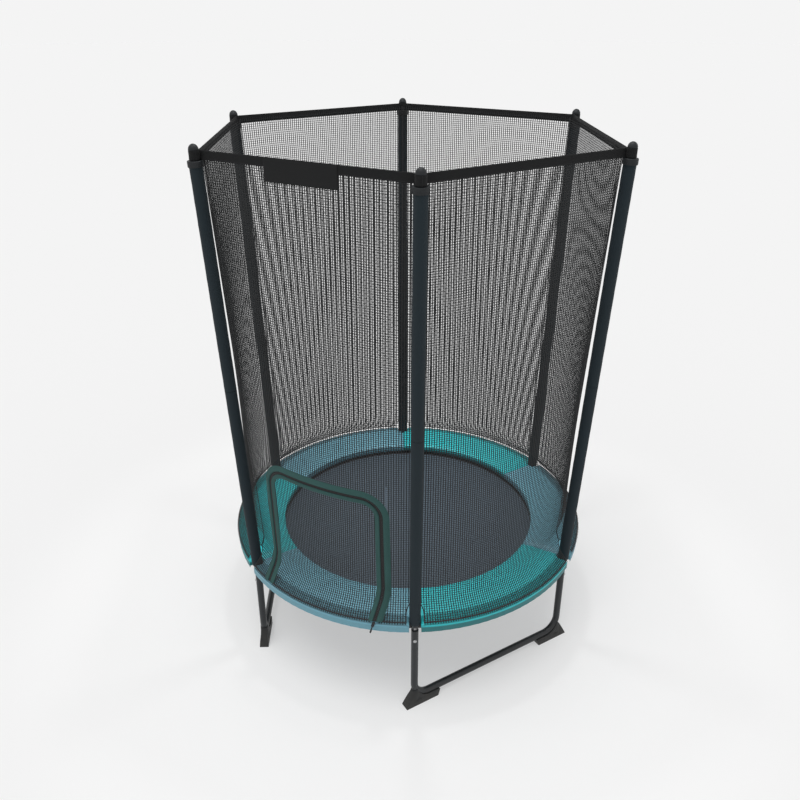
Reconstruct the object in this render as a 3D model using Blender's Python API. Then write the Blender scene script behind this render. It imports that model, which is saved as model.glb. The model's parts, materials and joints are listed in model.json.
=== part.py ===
"""Round garden trampoline for a child, with six net poles, three U legs and a zipped net door.

Units are metres, +Z is up, and the origin is on the ground under the middle of the jumping mat.
Six stations stand 60 degrees apart. Station 0 points to -Y, and the numbers rise anticlockwise.
Each station holds a rim segment with its socket, a foot, a two-part pole in foam and a cap.
"""

import math

import bmesh
import bpy
from mathutils import Matrix, Vector

# ---------------------------------------------------------------- general
STATIONS = 6
STEP = 2.0 * math.pi / STATIONS
FIRST_ANGLE = -math.pi / 2.0
HALF_STEP = STEP / 2.0
GAP = 0.0003
TUBE_SIDES = 12

# ---------------------------------------------------------------- steel frame
LEG_CIRCLE = 0.8775
LEG_TUBE_RADIUS = 0.0168
TUBE_WALL = 0.0015
LEG_BEND = 0.080
LEG_BEND_STEPS = 4
BASE_TUBE_HEIGHT = 0.047
SOCKET_RADIUS = 0.01675
SOCKET_BOTTOM = 0.355
SOCKET_TOP = 0.459
SWAGE_LENGTH = 0.085
RIM_HEIGHT = 0.460
RIM_TUBE_RADIUS = 0.019
RIM_HALF_STEPS = 4
RIM_PLUG_ANGLE = math.radians(2.5)
WELD_DEPTH = 0.001

# ---------------------------------------------------------------- feet
FOOT_WIDTH = 0.045
FOOT_TOE = 0.053
FOOT_TOE_EDGE = 0.006
FOOT_TOE_WALL = 0.002
FOOT_TOE_TOP = 0.0815
FOOT_TOP = 0.1014
FOOT_LIP_RISE = 0.0035
FOOT_LIP_DROP = 0.0065
FOOT_HEEL = 0.1245
FOOT_HEEL_LEAN = 0.011
FOOT_HEEL_HEIGHT = 0.030
FOOT_HEEL_CHAMFER = 0.0025
FOOT_ARC_STEPS = 4
FOOT_POCKET_DEPTH = 0.0015

# ---------------------------------------------------------------- net poles
POLE_RADIUS = 0.0125
POLE_WALL = 0.0012
POLE_LEAN = math.radians(2.49)
POLE_BEND_HEIGHT = 0.475
POLE_BOTTOM = 0.400
POLE_JOINT_HEIGHT = 1.470
POLE_SPIGOT_LENGTH = 0.060
POLE_TOP_INSET = 0.007
SLEEVE_RADIUS = 0.0265
SLEEVE_BOTTOM = 0.490
SLEEVE_ROUND = 0.010

# ---------------------------------------------------------------- caps and top band
BAND_BOTTOM = 2.455
BAND_HEIGHT = 0.036
BAND_THICKNESS = 0.002
BAND_LOOP_CLEARANCE = 0.0012
BAND_LOOP_BITE = 0.0013
BAND_CORNER_CUT = 0.0039
CAP_COLLAR_RADIUS = 0.031
CAP_COLLAR_HEIGHT = 0.024
CAP_COLLAR_BEVEL = 0.003
CAP_NECK_RADIUS = 0.018
CAP_DOME_RADIUS = 0.020
CAP_DOME_HEIGHT = 0.0225
CAP_TILT_CLEARANCE = 0.0015

# ---------------------------------------------------------------- frame pads
PAD_TOP = 0.520
PAD_OVERHANG = 0.0325
PAD_LAP = 0.041
PAD_SEAM = 0.0005
PAD_SLOT_CLEARANCE = 0.001
PAD_SLOT_REACH = 0.005
SKIRT_BOTTOM = 0.470
SKIRT_THICKNESS = 0.0025

# ---------------------------------------------------------------- jumping mat and springs
MAT_HEIGHT = RIM_HEIGHT
MAT_THICKNESS = 0.003
MAT_HEM_WIDTH = 0.040
MAT_HEM_THICKNESS = 0.008
MAT_SIDES = 36
SPRINGS_PER_STATION = 6
SPRING_REACH = 0.117
SPRING_RADIUS = 0.0095
SPRING_HOOK_RADIUS = 0.0025
SPRING_INNER_HOOK = 0.025
SPRING_OUTER_HOOK = 0.018
SPRING_SIDES = 5

# ---------------------------------------------------------------- net and door
NET_THICKNESS = 0.002
NET_STRAND = 0.006
NET_CORNER_CLEARANCE = 0.0045
NET_TOP_INSET = 0.0025
NET_WAIST_INSET = 0.0475
NET_KNEE_FLARE = 0.015
NET_KNEE_DROP = 0.050
NET_FLARE_RISE = 0.0765
NET_HEM_LIFT = 0.0035
NET_HEM_WIDTH = 0.010
NET_ROWS_BY_DOOR = 2
NET_ROWS_ABOVE_DOOR = 4
NOTCH_HALF_WIDTH = 0.039
NOTCH_EDGE = 0.016
NOTCH_CROWN = 0.0035
NOTCH_SPRING = 0.050
DOOR_FACE = 5
DOOR_HALF_WIDTH = 0.288
DOOR_TOP = 1.122
DOOR_CORNER = 0.090
DOOR_STRIP = 0.028
DOOR_SPLIT = 0.0006
DOOR_CUT_IN = 0.200
DOOR_CUT_OUT = 0.050
BINDING_WIDTH = 0.035

# ---------------------------------------------------------------- label, zip slider and pull
LABEL_LEFT = -0.170
LABEL_RIGHT = 0.150
LABEL_BOTTOM = 2.402
LABEL_THICKNESS = 0.0012
SLIDER_WIDTH = 0.014
SLIDER_LENGTH = 0.024
SLIDER_THICKNESS = 0.006
SLIDER_START = 0.014
EAR_THICKNESS = 0.002
EAR_HEIGHT = 0.006
PIN_RADIUS = 0.0012
PULL_WIDTH = 0.008
PULL_LENGTH = 0.032
PULL_THICKNESS = 0.0020
PULL_EYE = 0.0030

# ---------------------------------------------------------------- derived sizes
SOCKET_BORE = SOCKET_RADIUS - TUBE_WALL
SWAGE_RADIUS = SOCKET_BORE - GAP
SWAGE_BORE = SWAGE_RADIUS - TUBE_WALL
RIM_CIRCLE = LEG_CIRCLE - SOCKET_RADIUS - RIM_TUBE_RADIUS + WELD_DEPTH
RIM_BORE = RIM_TUBE_RADIUS - TUBE_WALL
RIM_INNER_WALL = (RIM_CIRCLE - RIM_TUBE_RADIUS) * math.cos(HALF_STEP / RIM_HALF_STEPS / 2.0)
MAT_RADIUS = RIM_INNER_WALL - SPRING_REACH
PAD_INNER = MAT_RADIUS - PAD_LAP
PAD_OUTER = LEG_CIRCLE + PAD_OVERHANG
PAD_BOTTOM = RIM_HEIGHT + RIM_TUBE_RADIUS + GAP
POLE_BORE = POLE_RADIUS - POLE_WALL
BAND_TOP = BAND_BOTTOM + BAND_HEIGHT
BAND_MIDDLE = (BAND_BOTTOM + BAND_TOP) / 2.0
POLE_TOP = BAND_TOP - POLE_TOP_INSET
POLE_CIRCLE_AT_BAND = LEG_CIRCLE + (BAND_MIDDLE - POLE_BEND_HEIGHT) * math.tan(POLE_LEAN)
BAND_LOOP_BORE = CAP_NECK_RADIUS + BAND_LOOP_CLEARANCE
BAND_LOOP_RADIUS = BAND_LOOP_BORE + BAND_THICKNESS
BAND_CORNER = POLE_CIRCLE_AT_BAND - BAND_LOOP_RADIUS + BAND_LOOP_BITE
BAND_OUTER = (BAND_CORNER + BAND_CORNER_CUT) * math.cos(HALF_STEP)
BAND_INNER = BAND_OUTER - BAND_THICKNESS
NET_APOTHEM = BAND_INNER - GAP - NET_THICKNESS / 2.0
NET_CORNER = POLE_CIRCLE_AT_BAND - CAP_COLLAR_RADIUS - NET_CORNER_CLEARANCE
NET_TOP = BAND_TOP - NET_TOP_INSET
NET_HEM = PAD_OUTER
NET_HEM_HEIGHT = PAD_TOP + NET_HEM_LIFT
NET_KNEE_HEIGHT = NET_HEM_HEIGHT + NET_FLARE_RISE
NET_WAIST_HEIGHT = NET_KNEE_HEIGHT + NET_KNEE_DROP
NET_WAIST = LEG_CIRCLE - NET_WAIST_INSET
NET_KNEE = NET_WAIST + NET_KNEE_FLARE
BINDING_TOP = DOOR_TOP + BINDING_WIDTH
NET_DOOR_EDGE = DOOR_HALF_WIDTH + BINDING_WIDTH + GAP


# ================================================================ small tools
def clear_scene():
    for leftover in list(bpy.data.objects):
        bpy.data.objects.remove(leftover, do_unlink=True)


def make_material(name, color, roughness, metallic=0.0):
    material = bpy.data.materials.new(name)
    material.use_nodes = True
    shader = material.node_tree.nodes["Principled BSDF"]
    shader.inputs["Base Color"].default_value = (*color, 1.0)
    shader.inputs["Roughness"].default_value = roughness
    shader.inputs["Metallic"].default_value = metallic
    material.diffuse_color = (*color, 1.0)
    return material


def station_angle(station):
    return FIRST_ANGLE + STEP * station


def face_angle(face):
    """Middle of the side between one station and the next."""
    return station_angle(face) + HALF_STEP


def place(name, mesh, material, angle=0.0, offset=(0.0, 0.0, 0.0), smooth=True):
    """One named sub-part, turned about the middle of the trampoline to its station."""
    item = bpy.data.objects.new(name, mesh)
    bpy.context.scene.collection.objects.link(item)
    item.location = Matrix.Rotation(angle, 3, "Z") @ Vector(offset)
    item.rotation_euler = (0.0, 0.0, angle)
    if not mesh.materials:
        mesh.materials.append(material)
    if smooth:
        mesh.shade_smooth()
        mesh.set_sharp_from_angle(angle=math.radians(35.0))
    return item


def mesh_from(work, name):
    bmesh.ops.recalc_face_normals(work, faces=work.faces)
    mesh = bpy.data.meshes.new(name)
    work.to_mesh(mesh)
    work.free()
    return mesh


def skin(name, rings, closed=False):
    """A solid through a row of rings: closed end to end, or with a flat face at each end."""
    work = bmesh.new()
    rows = [[work.verts.new(point) for point in ring] for ring in rings]
    pairs = list(zip(rows, rows[1:]))
    if closed:
        pairs.append((rows[-1], rows[0]))
    for low, high in pairs:
        for index in range(len(low)):
            after = (index + 1) % len(low)
            work.faces.new((low[index], low[after], high[after], high[index]))
    if not closed:
        work.faces.new(rows[0])
        work.faces.new(list(reversed(rows[-1])))
    return mesh_from(work, name)


def circle(centre, across, up, radius, sides=TUBE_SIDES):
    """Points of a circle in the plane of two unit vectors."""
    points = []
    for index in range(sides):
        turn = 2.0 * math.pi * index / sides
        points.append(centre + across * (radius * math.cos(turn)) + up * (radius * math.sin(turn)))
    return points


def prism(name, outline, place_point, near, far):
    """An outline of (across, height) points, extruded between two distances."""
    rings = [[place_point(distance, across, height) for across, height in outline]
             for distance in (near, far)]
    return skin(name, rings)


def combine(base, steps, name):
    """The mesh left after a row of Boolean steps, each an operation and a mesh."""
    body = bpy.data.objects.new(name, base)
    bpy.context.scene.collection.objects.link(body)
    tools = []
    for operation, mesh in steps:
        tool = bpy.data.objects.new(name + "_tool", mesh)
        tool.hide_render = True
        tool.display_type = "WIRE"
        bpy.context.scene.collection.objects.link(tool)
        step = body.modifiers.new(operation.title(), "BOOLEAN")
        step.solver = "EXACT"
        step.operation = operation
        step.object = tool
        tools.append(tool)
    bpy.context.view_layer.update()
    evaluated = body.evaluated_get(bpy.context.evaluated_depsgraph_get())
    result = bpy.data.meshes.new_from_object(evaluated)
    for spent in [body] + tools:
        bpy.data.objects.remove(spent, do_unlink=True)
    result.name = name
    return result


def joined(meshes, name):
    """Several meshes that do not touch, as one Boolean tool."""
    work = bmesh.new()
    for mesh in meshes:
        work.from_mesh(mesh)
    result = bpy.data.meshes.new(name)
    work.to_mesh(result)
    work.free()
    return result


def turned(mesh, angle):
    copy = mesh.copy()
    copy.transform(Matrix.Rotation(angle, 4, "Z"))
    return copy


def turned_column(name, profile, axis_point, axis, side, closed, sides=TUBE_SIDES):
    """A round solid about a straight axis, from (distance along it, radius) pairs."""
    across = side.normalized()
    up = axis.cross(across).normalized()
    rings = [circle(axis_point + axis * along, across, up, radius, sides) for along, radius in profile]
    return skin(name, rings, closed)


# ================================================================ steel frame
def rim_ring(angle, radius):
    outward = Vector((math.cos(angle), math.sin(angle), 0.0))
    return circle(outward * RIM_CIRCLE + Vector((0.0, 0.0, RIM_HEIGHT)), outward, Vector((0.0, 0.0, 1.0)), radius)


def rim_mesh():
    """A sixth of the rim: an open end, a swaged end that plugs into the next, and a welded socket."""
    mouth = -HALF_STEP + RIM_PLUG_ANGLE
    shoulder = HALF_STEP - GAP / RIM_CIRCLE
    plug_end = shoulder + RIM_PLUG_ANGLE
    steps = range(RIM_HALF_STEPS)
    angles = [mouth * (1.0 - step / RIM_HALF_STEPS) for step in steps] + [0.0]
    angles += [shoulder * (step + 1) / RIM_HALF_STEPS for step in steps]
    plug_radius = RIM_BORE - GAP
    rings = [rim_ring(mouth, RIM_BORE), rim_ring(-HALF_STEP, RIM_BORE), rim_ring(-HALF_STEP, RIM_TUBE_RADIUS)]
    rings += [rim_ring(angle, RIM_TUBE_RADIUS) for angle in angles]
    rings += [rim_ring(shoulder, plug_radius), rim_ring(plug_end, plug_radius)]
    tube = skin("rim_tube", rings)
    up = Vector((0.0, 0.0, 1.0))
    height = SOCKET_TOP - SOCKET_BOTTOM
    profile = [(0.0, SOCKET_RADIUS), (height, SOCKET_RADIUS), (height, SOCKET_BORE), (0.0, SOCKET_BORE)]
    foot_of_socket = Vector((LEG_CIRCLE, 0.0, SOCKET_BOTTOM))
    socket = turned_column("socket", profile, foot_of_socket, up, Vector((1.0, 0.0, 0.0)), closed=True)
    return combine(tube, [("UNION", socket)], "rim_segment")


def leg_path():
    """Half of the U from its top to the middle of the base: points with their headings."""
    half = LEG_CIRCLE * math.sin(HALF_STEP)
    shoulder = SOCKET_BOTTOM - GAP
    bend_height = BASE_TUBE_HEIGHT + LEG_BEND
    turns = [math.pi / 2.0 * step / LEG_BEND_STEPS for step in range(LEG_BEND_STEPS + 1)]
    bend = [(-half + LEG_BEND * (1.0 - math.cos(turn)), bend_height - LEG_BEND * math.sin(turn), turn)
            for turn in turns]
    return half, shoulder, bend


def leg_ring(x, z, turn, radius):
    across = Vector((0.0, 1.0, 0.0))
    outward = Vector((-math.cos(turn), 0.0, -math.sin(turn)))
    return circle(Vector((x, 0.0, z)), across, outward, radius)


def mirrored_rings(rings):
    return [[Vector((-point.x, point.y, point.z)) for point in ring] for ring in reversed(rings)]


def leg_mesh():
    half, shoulder, bend = leg_path()
    swage_top = shoulder + SWAGE_LENGTH
    bore_bottom = bend[0][1] + LEG_TUBE_RADIUS
    rings = [leg_ring(-half, bore_bottom, 0.0, SWAGE_BORE), leg_ring(-half, swage_top, 0.0, SWAGE_BORE)]
    rings += [leg_ring(-half, swage_top, 0.0, SWAGE_RADIUS), leg_ring(-half, shoulder, 0.0, SWAGE_RADIUS)]
    rings += [leg_ring(-half, shoulder, 0.0, LEG_TUBE_RADIUS)]
    rings += [leg_ring(x, z, turn, LEG_TUBE_RADIUS) for x, z, turn in bend]
    return skin("leg", rings + mirrored_rings(rings))


def foot_mesh():
    """A moulded wedge that cradles the bend of the leg. Its +X runs inward along the base tube."""
    bend_height = BASE_TUBE_HEIGHT + LEG_BEND
    reach = LEG_BEND - FOOT_LIP_RISE
    drop = LEG_BEND + FOOT_LIP_DROP
    first = math.asin((bend_height - FOOT_TOP) / drop)
    turns = [first + (math.pi / 2.0 - first) * step / FOOT_ARC_STEPS for step in range(FOOT_ARC_STEPS + 1)]
    lip = [(LEG_BEND - reach * math.cos(turn), bend_height - drop * math.sin(turn)) for turn in turns]
    heel = FOOT_HEEL + FOOT_HEEL_LEAN
    outline = [(-FOOT_TOE, 0.0), (-FOOT_TOE, FOOT_TOE_EDGE), (-LEG_TUBE_RADIUS - FOOT_TOE_WALL, FOOT_TOE_TOP)]
    outline += lip
    outline += [(heel - FOOT_HEEL_CHAMFER, lip[-1][1]), (heel, FOOT_HEEL_HEIGHT), (FOOT_HEEL, 0.0)]

    def point(distance, across, height):
        return Vector((across, distance, height))

    half_width = FOOT_WIDTH / 2.0
    body = prism("foot_body", outline, point, -half_width, half_width)
    wide = LEG_TUBE_RADIUS + GAP
    half, shoulder, bend = leg_path()
    rings = [leg_ring(-half, shoulder, 0.0, wide)] + [leg_ring(x, z, turn, wide) for x, z, turn in bend]
    rings += [leg_ring(0.0, BASE_TUBE_HEIGHT, math.pi / 2.0, wide)]
    groove = skin("foot_groove", [[vertex + Vector((half, 0.0, 0.0)) for vertex in ring] for ring in rings])
    pocket = [(-0.027, 0.026), (0.032, 0.034), (-0.001, 0.065)]
    pockets = [prism("foot_pocket", pocket, point, side * (half_width - FOOT_POCKET_DEPTH),
                     side * (half_width + FOOT_POCKET_DEPTH)) for side in (-1.0, 1.0)]
    return combine(body, [("DIFFERENCE", groove), ("DIFFERENCE", joined(pockets, "foot_pockets"))], "foot")


# ================================================================ net poles
def pole_point(height):
    """Where the leaning axis of a pole is at a height."""
    reach = (height - POLE_BEND_HEIGHT) * math.tan(POLE_LEAN)
    return Vector((LEG_CIRCLE + reach, 0.0, height))


def pole_ring(height, radius, lean=POLE_LEAN, sides=TUBE_SIDES):
    centre = pole_point(height) if height > POLE_BEND_HEIGHT else Vector((LEG_CIRCLE, 0.0, height))
    across = Vector((math.cos(lean), 0.0, -math.sin(lean)))
    return circle(centre, across, Vector((0.0, 1.0, 0.0)), radius, sides)


def pole_lower_mesh():
    """The lower pole: a foot in the leg's bore, a slight bend and a swaged spigot at its top."""
    seam = POLE_JOINT_HEIGHT
    spigot = POLE_BORE - GAP
    spigot_bore = spigot - POLE_WALL
    neck = seam - 0.010
    rings = [pole_ring(POLE_BOTTOM, POLE_RADIUS, 0.0)]
    rings += [pole_ring(POLE_BEND_HEIGHT, POLE_RADIUS, POLE_LEAN / 2.0), pole_ring(seam, POLE_RADIUS)]
    rings += [pole_ring(seam, spigot), pole_ring(seam + POLE_SPIGOT_LENGTH, spigot)]
    rings += [pole_ring(seam + POLE_SPIGOT_LENGTH, spigot_bore), pole_ring(neck, spigot_bore)]
    rings += [pole_ring(neck - 0.004, POLE_BORE)]
    rings += [pole_ring(POLE_BEND_HEIGHT, POLE_BORE, POLE_LEAN / 2.0), pole_ring(POLE_BOTTOM, POLE_BORE, 0.0)]
    return skin("pole_lower", rings, closed=True)


def pole_upper_mesh():
    seam = POLE_JOINT_HEIGHT + GAP
    rings = [pole_ring(seam, POLE_RADIUS), pole_ring(POLE_TOP, POLE_RADIUS)]
    rings += [pole_ring(POLE_TOP, POLE_BORE), pole_ring(seam, POLE_BORE)]
    return skin("pole_upper", rings, closed=True)


def cap_bottom():
    """Lower face of the cap's collar, on the pole's axis."""
    return BAND_BOTTOM - CAP_TILT_CLEARANCE - CAP_COLLAR_HEIGHT


def sleeve_mesh(bottom, top, bottom_round):
    bore = POLE_RADIUS + GAP
    rings = [pole_ring(bottom, SLEEVE_RADIUS - bottom_round)]
    if bottom_round > 0.0:
        rings += [pole_ring(bottom + bottom_round, SLEEVE_RADIUS)]
    rings += [pole_ring(top, SLEEVE_RADIUS), pole_ring(top, bore), pole_ring(bottom, bore)]
    return skin("sleeve", rings, closed=True)


def cap_mesh():
    """A moulded cap: collar over the foam, neck for the band's loop, dome over the loop."""
    bottom = cap_bottom()
    collar_top = bottom + CAP_COLLAR_HEIGHT
    dome = BAND_TOP + CAP_TILT_CLEARANCE
    bore = POLE_RADIUS + GAP
    profile = [(POLE_TOP + GAP, bore), (bottom, bore), (bottom, CAP_COLLAR_RADIUS)]
    profile += [(collar_top - CAP_COLLAR_BEVEL, CAP_COLLAR_RADIUS), (collar_top, CAP_COLLAR_RADIUS - CAP_COLLAR_BEVEL)]
    profile += [(collar_top, CAP_NECK_RADIUS), (dome, CAP_NECK_RADIUS)]
    profile += [(dome, CAP_DOME_RADIUS), (dome + CAP_DOME_HEIGHT * 0.45, CAP_DOME_RADIUS * 0.97)]
    profile += [(dome + CAP_DOME_HEIGHT * 0.8, CAP_DOME_RADIUS * 0.7), (dome + CAP_DOME_HEIGHT, CAP_DOME_RADIUS * 0.25)]
    return skin("pole_cap", [pole_ring(height, radius) for height, radius in profile])


def band_mesh():
    """Webbing from pole to pole with a loop round each cap's neck."""
    def outline(apothem, corner_distance):
        """Hexagon with each corner cut square to its radius."""
        points = []
        for station in range(STATIONS):
            angle = station_angle(station)
            half = (apothem / math.cos(HALF_STEP) - corner_distance) / math.tan(HALF_STEP)
            outward = Vector((math.cos(angle), math.sin(angle), 0.0))
            sideways = Vector((-math.sin(angle), math.cos(angle), 0.0))
            points += [outward * corner_distance - sideways * half, outward * corner_distance + sideways * half]
        return points

    def lifted(points, height):
        return [point + Vector((0.0, 0.0, height)) for point in points]

    outer = outline(BAND_OUTER, BAND_CORNER)
    inner = outline(BAND_INNER, BAND_CORNER - BAND_THICKNESS)
    rings = [lifted(outer, BAND_BOTTOM), lifted(outer, BAND_TOP), lifted(inner, BAND_TOP), lifted(inner, BAND_BOTTOM)]
    hexagon = skin("band_hexagon", rings, closed=True)
    profile = [(0.0, BAND_LOOP_RADIUS), (BAND_HEIGHT, BAND_LOOP_RADIUS)]
    profile += [(BAND_HEIGHT, BAND_LOOP_BORE), (0.0, BAND_LOOP_BORE)]
    up = Vector((0.0, 0.0, 1.0))
    start = Vector((POLE_CIRCLE_AT_BAND, 0.0, BAND_BOTTOM))
    loop = turned_column("band_loop", profile, start, up, Vector((1.0, 0.0, 0.0)), closed=True)
    loops = joined([turned(loop, station_angle(station)) for station in range(STATIONS)], "band_loops")
    return combine(hexagon, [("UNION", loops)], "top_band")


# ================================================================ pads, mat and springs
def pad_profile(drop):
    """Cross-section of a pad as (radius, height): foam crown, drawn-in edges and a skirt outside."""
    top = PAD_TOP - drop
    return [(PAD_INNER + 0.008, PAD_BOTTOM), (PAD_INNER, PAD_BOTTOM + 0.010), (PAD_INNER, top - 0.014),
            (PAD_INNER + 0.010, top - 0.004), (PAD_INNER + 0.056, top), (PAD_OUTER - 0.070, top),
            (PAD_OUTER - 0.015, top - 0.003), (PAD_OUTER - 0.002, top - 0.012), (PAD_OUTER, top - 0.022),
            (PAD_OUTER, SKIRT_BOTTOM), (PAD_OUTER - SKIRT_THICKNESS, SKIRT_BOTTOM),
            (PAD_OUTER - SKIRT_THICKNESS, PAD_BOTTOM)]


def pad_mesh():
    """A sixth of the frame cover, centred on +X, with half a pole slot at each end."""
    end = HALF_STEP - math.asin(PAD_SEAM / PAD_INNER)
    shares = [(-1.0, 0.007), (-0.95, 0.001), (-0.68, 0.0), (-0.34, 0.0), (0.0, 0.0),
              (0.34, 0.0), (0.68, 0.0), (0.95, 0.001), (1.0, 0.007)]
    rings = []
    for share, drop in shares:
        angle = end * share
        rings.append([Vector((radius * math.cos(angle), radius * math.sin(angle), height))
                      for radius, height in pad_profile(drop)])
    body = skin("pad_body", rings)
    slot_radius = SLEEVE_RADIUS + PAD_SLOT_CLEARANCE
    centre = LEG_CIRCLE - PAD_SLOT_REACH
    arc = [(centre - slot_radius * math.cos(turn), slot_radius * math.sin(turn))
           for turn in (math.radians(degrees) for degrees in range(-90, 91, 30))]
    outline = arc + [(PAD_OUTER + SLEEVE_RADIUS, slot_radius), (PAD_OUTER + SLEEVE_RADIUS, -slot_radius)]
    rings = [[Vector((x, y, height)) for x, y in outline] for height in (SKIRT_BOTTOM - 0.01, PAD_TOP + 0.01)]
    slot = skin("pad_slot", rings)
    slots = joined([turned(slot, HALF_STEP), turned(slot, -HALF_STEP)], "pad_slots")
    return combine(body, [("DIFFERENCE", slots)], "pad")


def mat_mesh():
    """The jumping mat with its webbing hem, and the springs that hold it as tapered barrels."""
    hem = MAT_HEM_THICKNESS / 2.0
    cloth = MAT_THICKNESS / 2.0
    hem_inner = MAT_RADIUS - MAT_HEM_WIDTH
    profile = [(hem_inner - 0.003, cloth), (hem_inner, hem), (MAT_RADIUS - 0.002, hem), (MAT_RADIUS, 0.0),
               (MAT_RADIUS - 0.002, -hem), (hem_inner, -hem), (hem_inner - 0.003, -cloth)]
    across = Vector((1.0, 0.0, 0.0))
    up = Vector((0.0, 1.0, 0.0))
    rings = [circle(Vector((0.0, 0.0, MAT_HEIGHT + height)), across, up, radius, MAT_SIDES)
             for radius, height in profile]
    mat = skin("mat_cloth", rings)
    start = MAT_RADIUS - MAT_HEM_WIDTH / 4.0
    end = RIM_INNER_WALL - GAP
    profile = [(start, SPRING_HOOK_RADIUS), (MAT_RADIUS + SPRING_INNER_HOOK, SPRING_RADIUS),
               (end - SPRING_OUTER_HOOK, SPRING_RADIUS), (end, SPRING_HOOK_RADIUS)]
    spring = turned_column("spring", profile, Vector((0.0, 0.0, MAT_HEIGHT)), Vector((1.0, 0.0, 0.0)),
                           Vector((0.0, 0.0, 1.0)), closed=False, sides=SPRING_SIDES)
    count = STATIONS * SPRINGS_PER_STATION
    first = FIRST_ANGLE + STEP / SPRINGS_PER_STATION / 2.0
    springs = [turned(spring, first + 2.0 * math.pi * index / count) for index in range(count)]
    return combine(mat, [("UNION", joined(springs, "springs"))], "jump_mat")


# ================================================================ net
def between(low, high, share):
    return low + (high - low) * share


def net_distance(across, height):
    """Distance of the net's middle surface from the centre, square to a side, at a place on that side."""
    if height <= NET_KNEE_HEIGHT:
        share = (height - NET_HEM_HEIGHT) / (NET_KNEE_HEIGHT - NET_HEM_HEIGHT)
        return math.sqrt(between(NET_HEM, NET_KNEE, share) ** 2 - across ** 2)
    if height <= NET_WAIST_HEIGHT:
        share = (height - NET_KNEE_HEIGHT) / (NET_WAIST_HEIGHT - NET_KNEE_HEIGHT)
        return math.sqrt(between(NET_KNEE, NET_WAIST, share) ** 2 - across ** 2)
    share = (height - NET_WAIST_HEIGHT) / (NET_TOP - NET_WAIST_HEIGHT)
    waist = math.sqrt(NET_WAIST ** 2 - across ** 2)
    top = min(NET_APOTHEM, math.sqrt(NET_CORNER ** 2 - across ** 2))
    return between(waist, top, share)


def net_half_side(height):
    """Half the width of a side of the net, from its middle to a pole."""
    half = NET_APOTHEM * math.tan(HALF_STEP)
    for _ in range(24):
        half = math.tan(HALF_STEP) * net_distance(half, height)
    return half


def side_point(face, distance, across, height):
    """A point given square to a side, along it and above the ground."""
    angle = face_angle(face)
    outward = Vector((math.cos(angle), math.sin(angle), 0.0))
    sideways = Vector((-math.sin(angle), math.cos(angle), 0.0))
    return outward * distance + sideways * across + Vector((0.0, 0.0, height))


def net_point(face, across, height):
    return side_point(face, net_distance(across, height), across, height)


def net_heights():
    """Lower and upper edge of each ring of the net, from the hem to the top."""
    rings = [(NET_HEM_HEIGHT, NET_HEM_HEIGHT + NET_HEM_WIDTH)]
    starts = [NET_KNEE_HEIGHT, NET_WAIST_HEIGHT]
    door_line = BINDING_TOP + GAP
    starts += [between(NET_WAIST_HEIGHT, door_line, row / NET_ROWS_BY_DOOR) for row in range(1, NET_ROWS_BY_DOOR + 1)]
    starts += [between(door_line, BAND_BOTTOM, row / NET_ROWS_ABOVE_DOOR) for row in range(1, NET_ROWS_ABOVE_DOOR)]
    rings += [(start, start + NET_STRAND) for start in starts]
    rings.append((BAND_BOTTOM - NET_STRAND, NET_TOP))
    return rings


def net_columns(face, height):
    """Edges of the net's upright strands along one side, from pole to pole."""
    half = net_half_side(height)
    strand = NET_STRAND / 2.0
    notch = NOTCH_HALF_WIDTH + NOTCH_EDGE
    if face == DOOR_FACE:
        left = -NET_DOOR_EDGE - strand
    else:
        left = -half / 2.0
    lines = [-half + strand, -half + notch, left - strand, left + strand, -strand]
    return lines + [-line for line in reversed(lines)]


def net_mesh():
    """The enclosure net as an open lattice, with its arched pole notches and its doorway."""
    heights = [height for ring in net_heights() for height in ring]
    line_count = len(net_columns(0, NET_TOP))
    last = line_count - 1
    notch_lines = (1, last - 1)
    flare_columns = [(line, line + 1) for line in range(line_count)]
    wall_columns = [(0, 2), (2, 3), (3, 4), (4, 5), (5, 6), (6, 7), (7, last), (last, line_count)]
    strand_starts = (2, 4, 6, last)
    notch_starts = (0, last - 1, last)
    door_starts = (3, 4, 5)
    knee_row = 2
    work = bmesh.new()
    points = {}

    def vertex(face, line, row):
        face = (face + line // line_count) % STATIONS
        key = (face, line % line_count, row)
        if key not in points:
            height = heights[row]
            across = net_columns(face, height)[line % line_count]
            points[key] = work.verts.new(net_point(face, across, height))
        return points[key]

    for face in range(STATIONS):
        for row in range(len(heights) - 1):
            is_ring = row % 2 == 0
            beside_door = face == DOOR_FACE and heights[row] < BINDING_TOP
            columns = flare_columns if row < knee_row else wall_columns
            for start, end in columns:
                by_notch = row < knee_row and start in notch_starts
                doorway = beside_door and start in door_starts
                if doorway or not (is_ring or start in strand_starts or by_notch):
                    continue
                lower = [line for line in range(start, end + 1) if row <= knee_row or line not in notch_lines]
                corners = [vertex(face, line, row) for line in lower]
                work.faces.new(corners + [vertex(face, end, row + 1), vertex(face, start, row + 1)])
    sheet = mesh_from(work, "net_sheet")
    return combine(thickened(sheet), [("DIFFERENCE", notch_tools())], "net")


def thickened(sheet):
    """A sheet given the net's thickness, half to each side."""
    body = bpy.data.objects.new("thick", sheet)
    bpy.context.scene.collection.objects.link(body)
    solid = body.modifiers.new("Solidify", "SOLIDIFY")
    solid.thickness = NET_THICKNESS
    solid.offset = 0.0
    bpy.context.view_layer.update()
    evaluated = body.evaluated_get(bpy.context.evaluated_depsgraph_get())
    result = bpy.data.meshes.new_from_object(evaluated)
    bpy.data.objects.remove(body, do_unlink=True)
    return result


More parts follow.
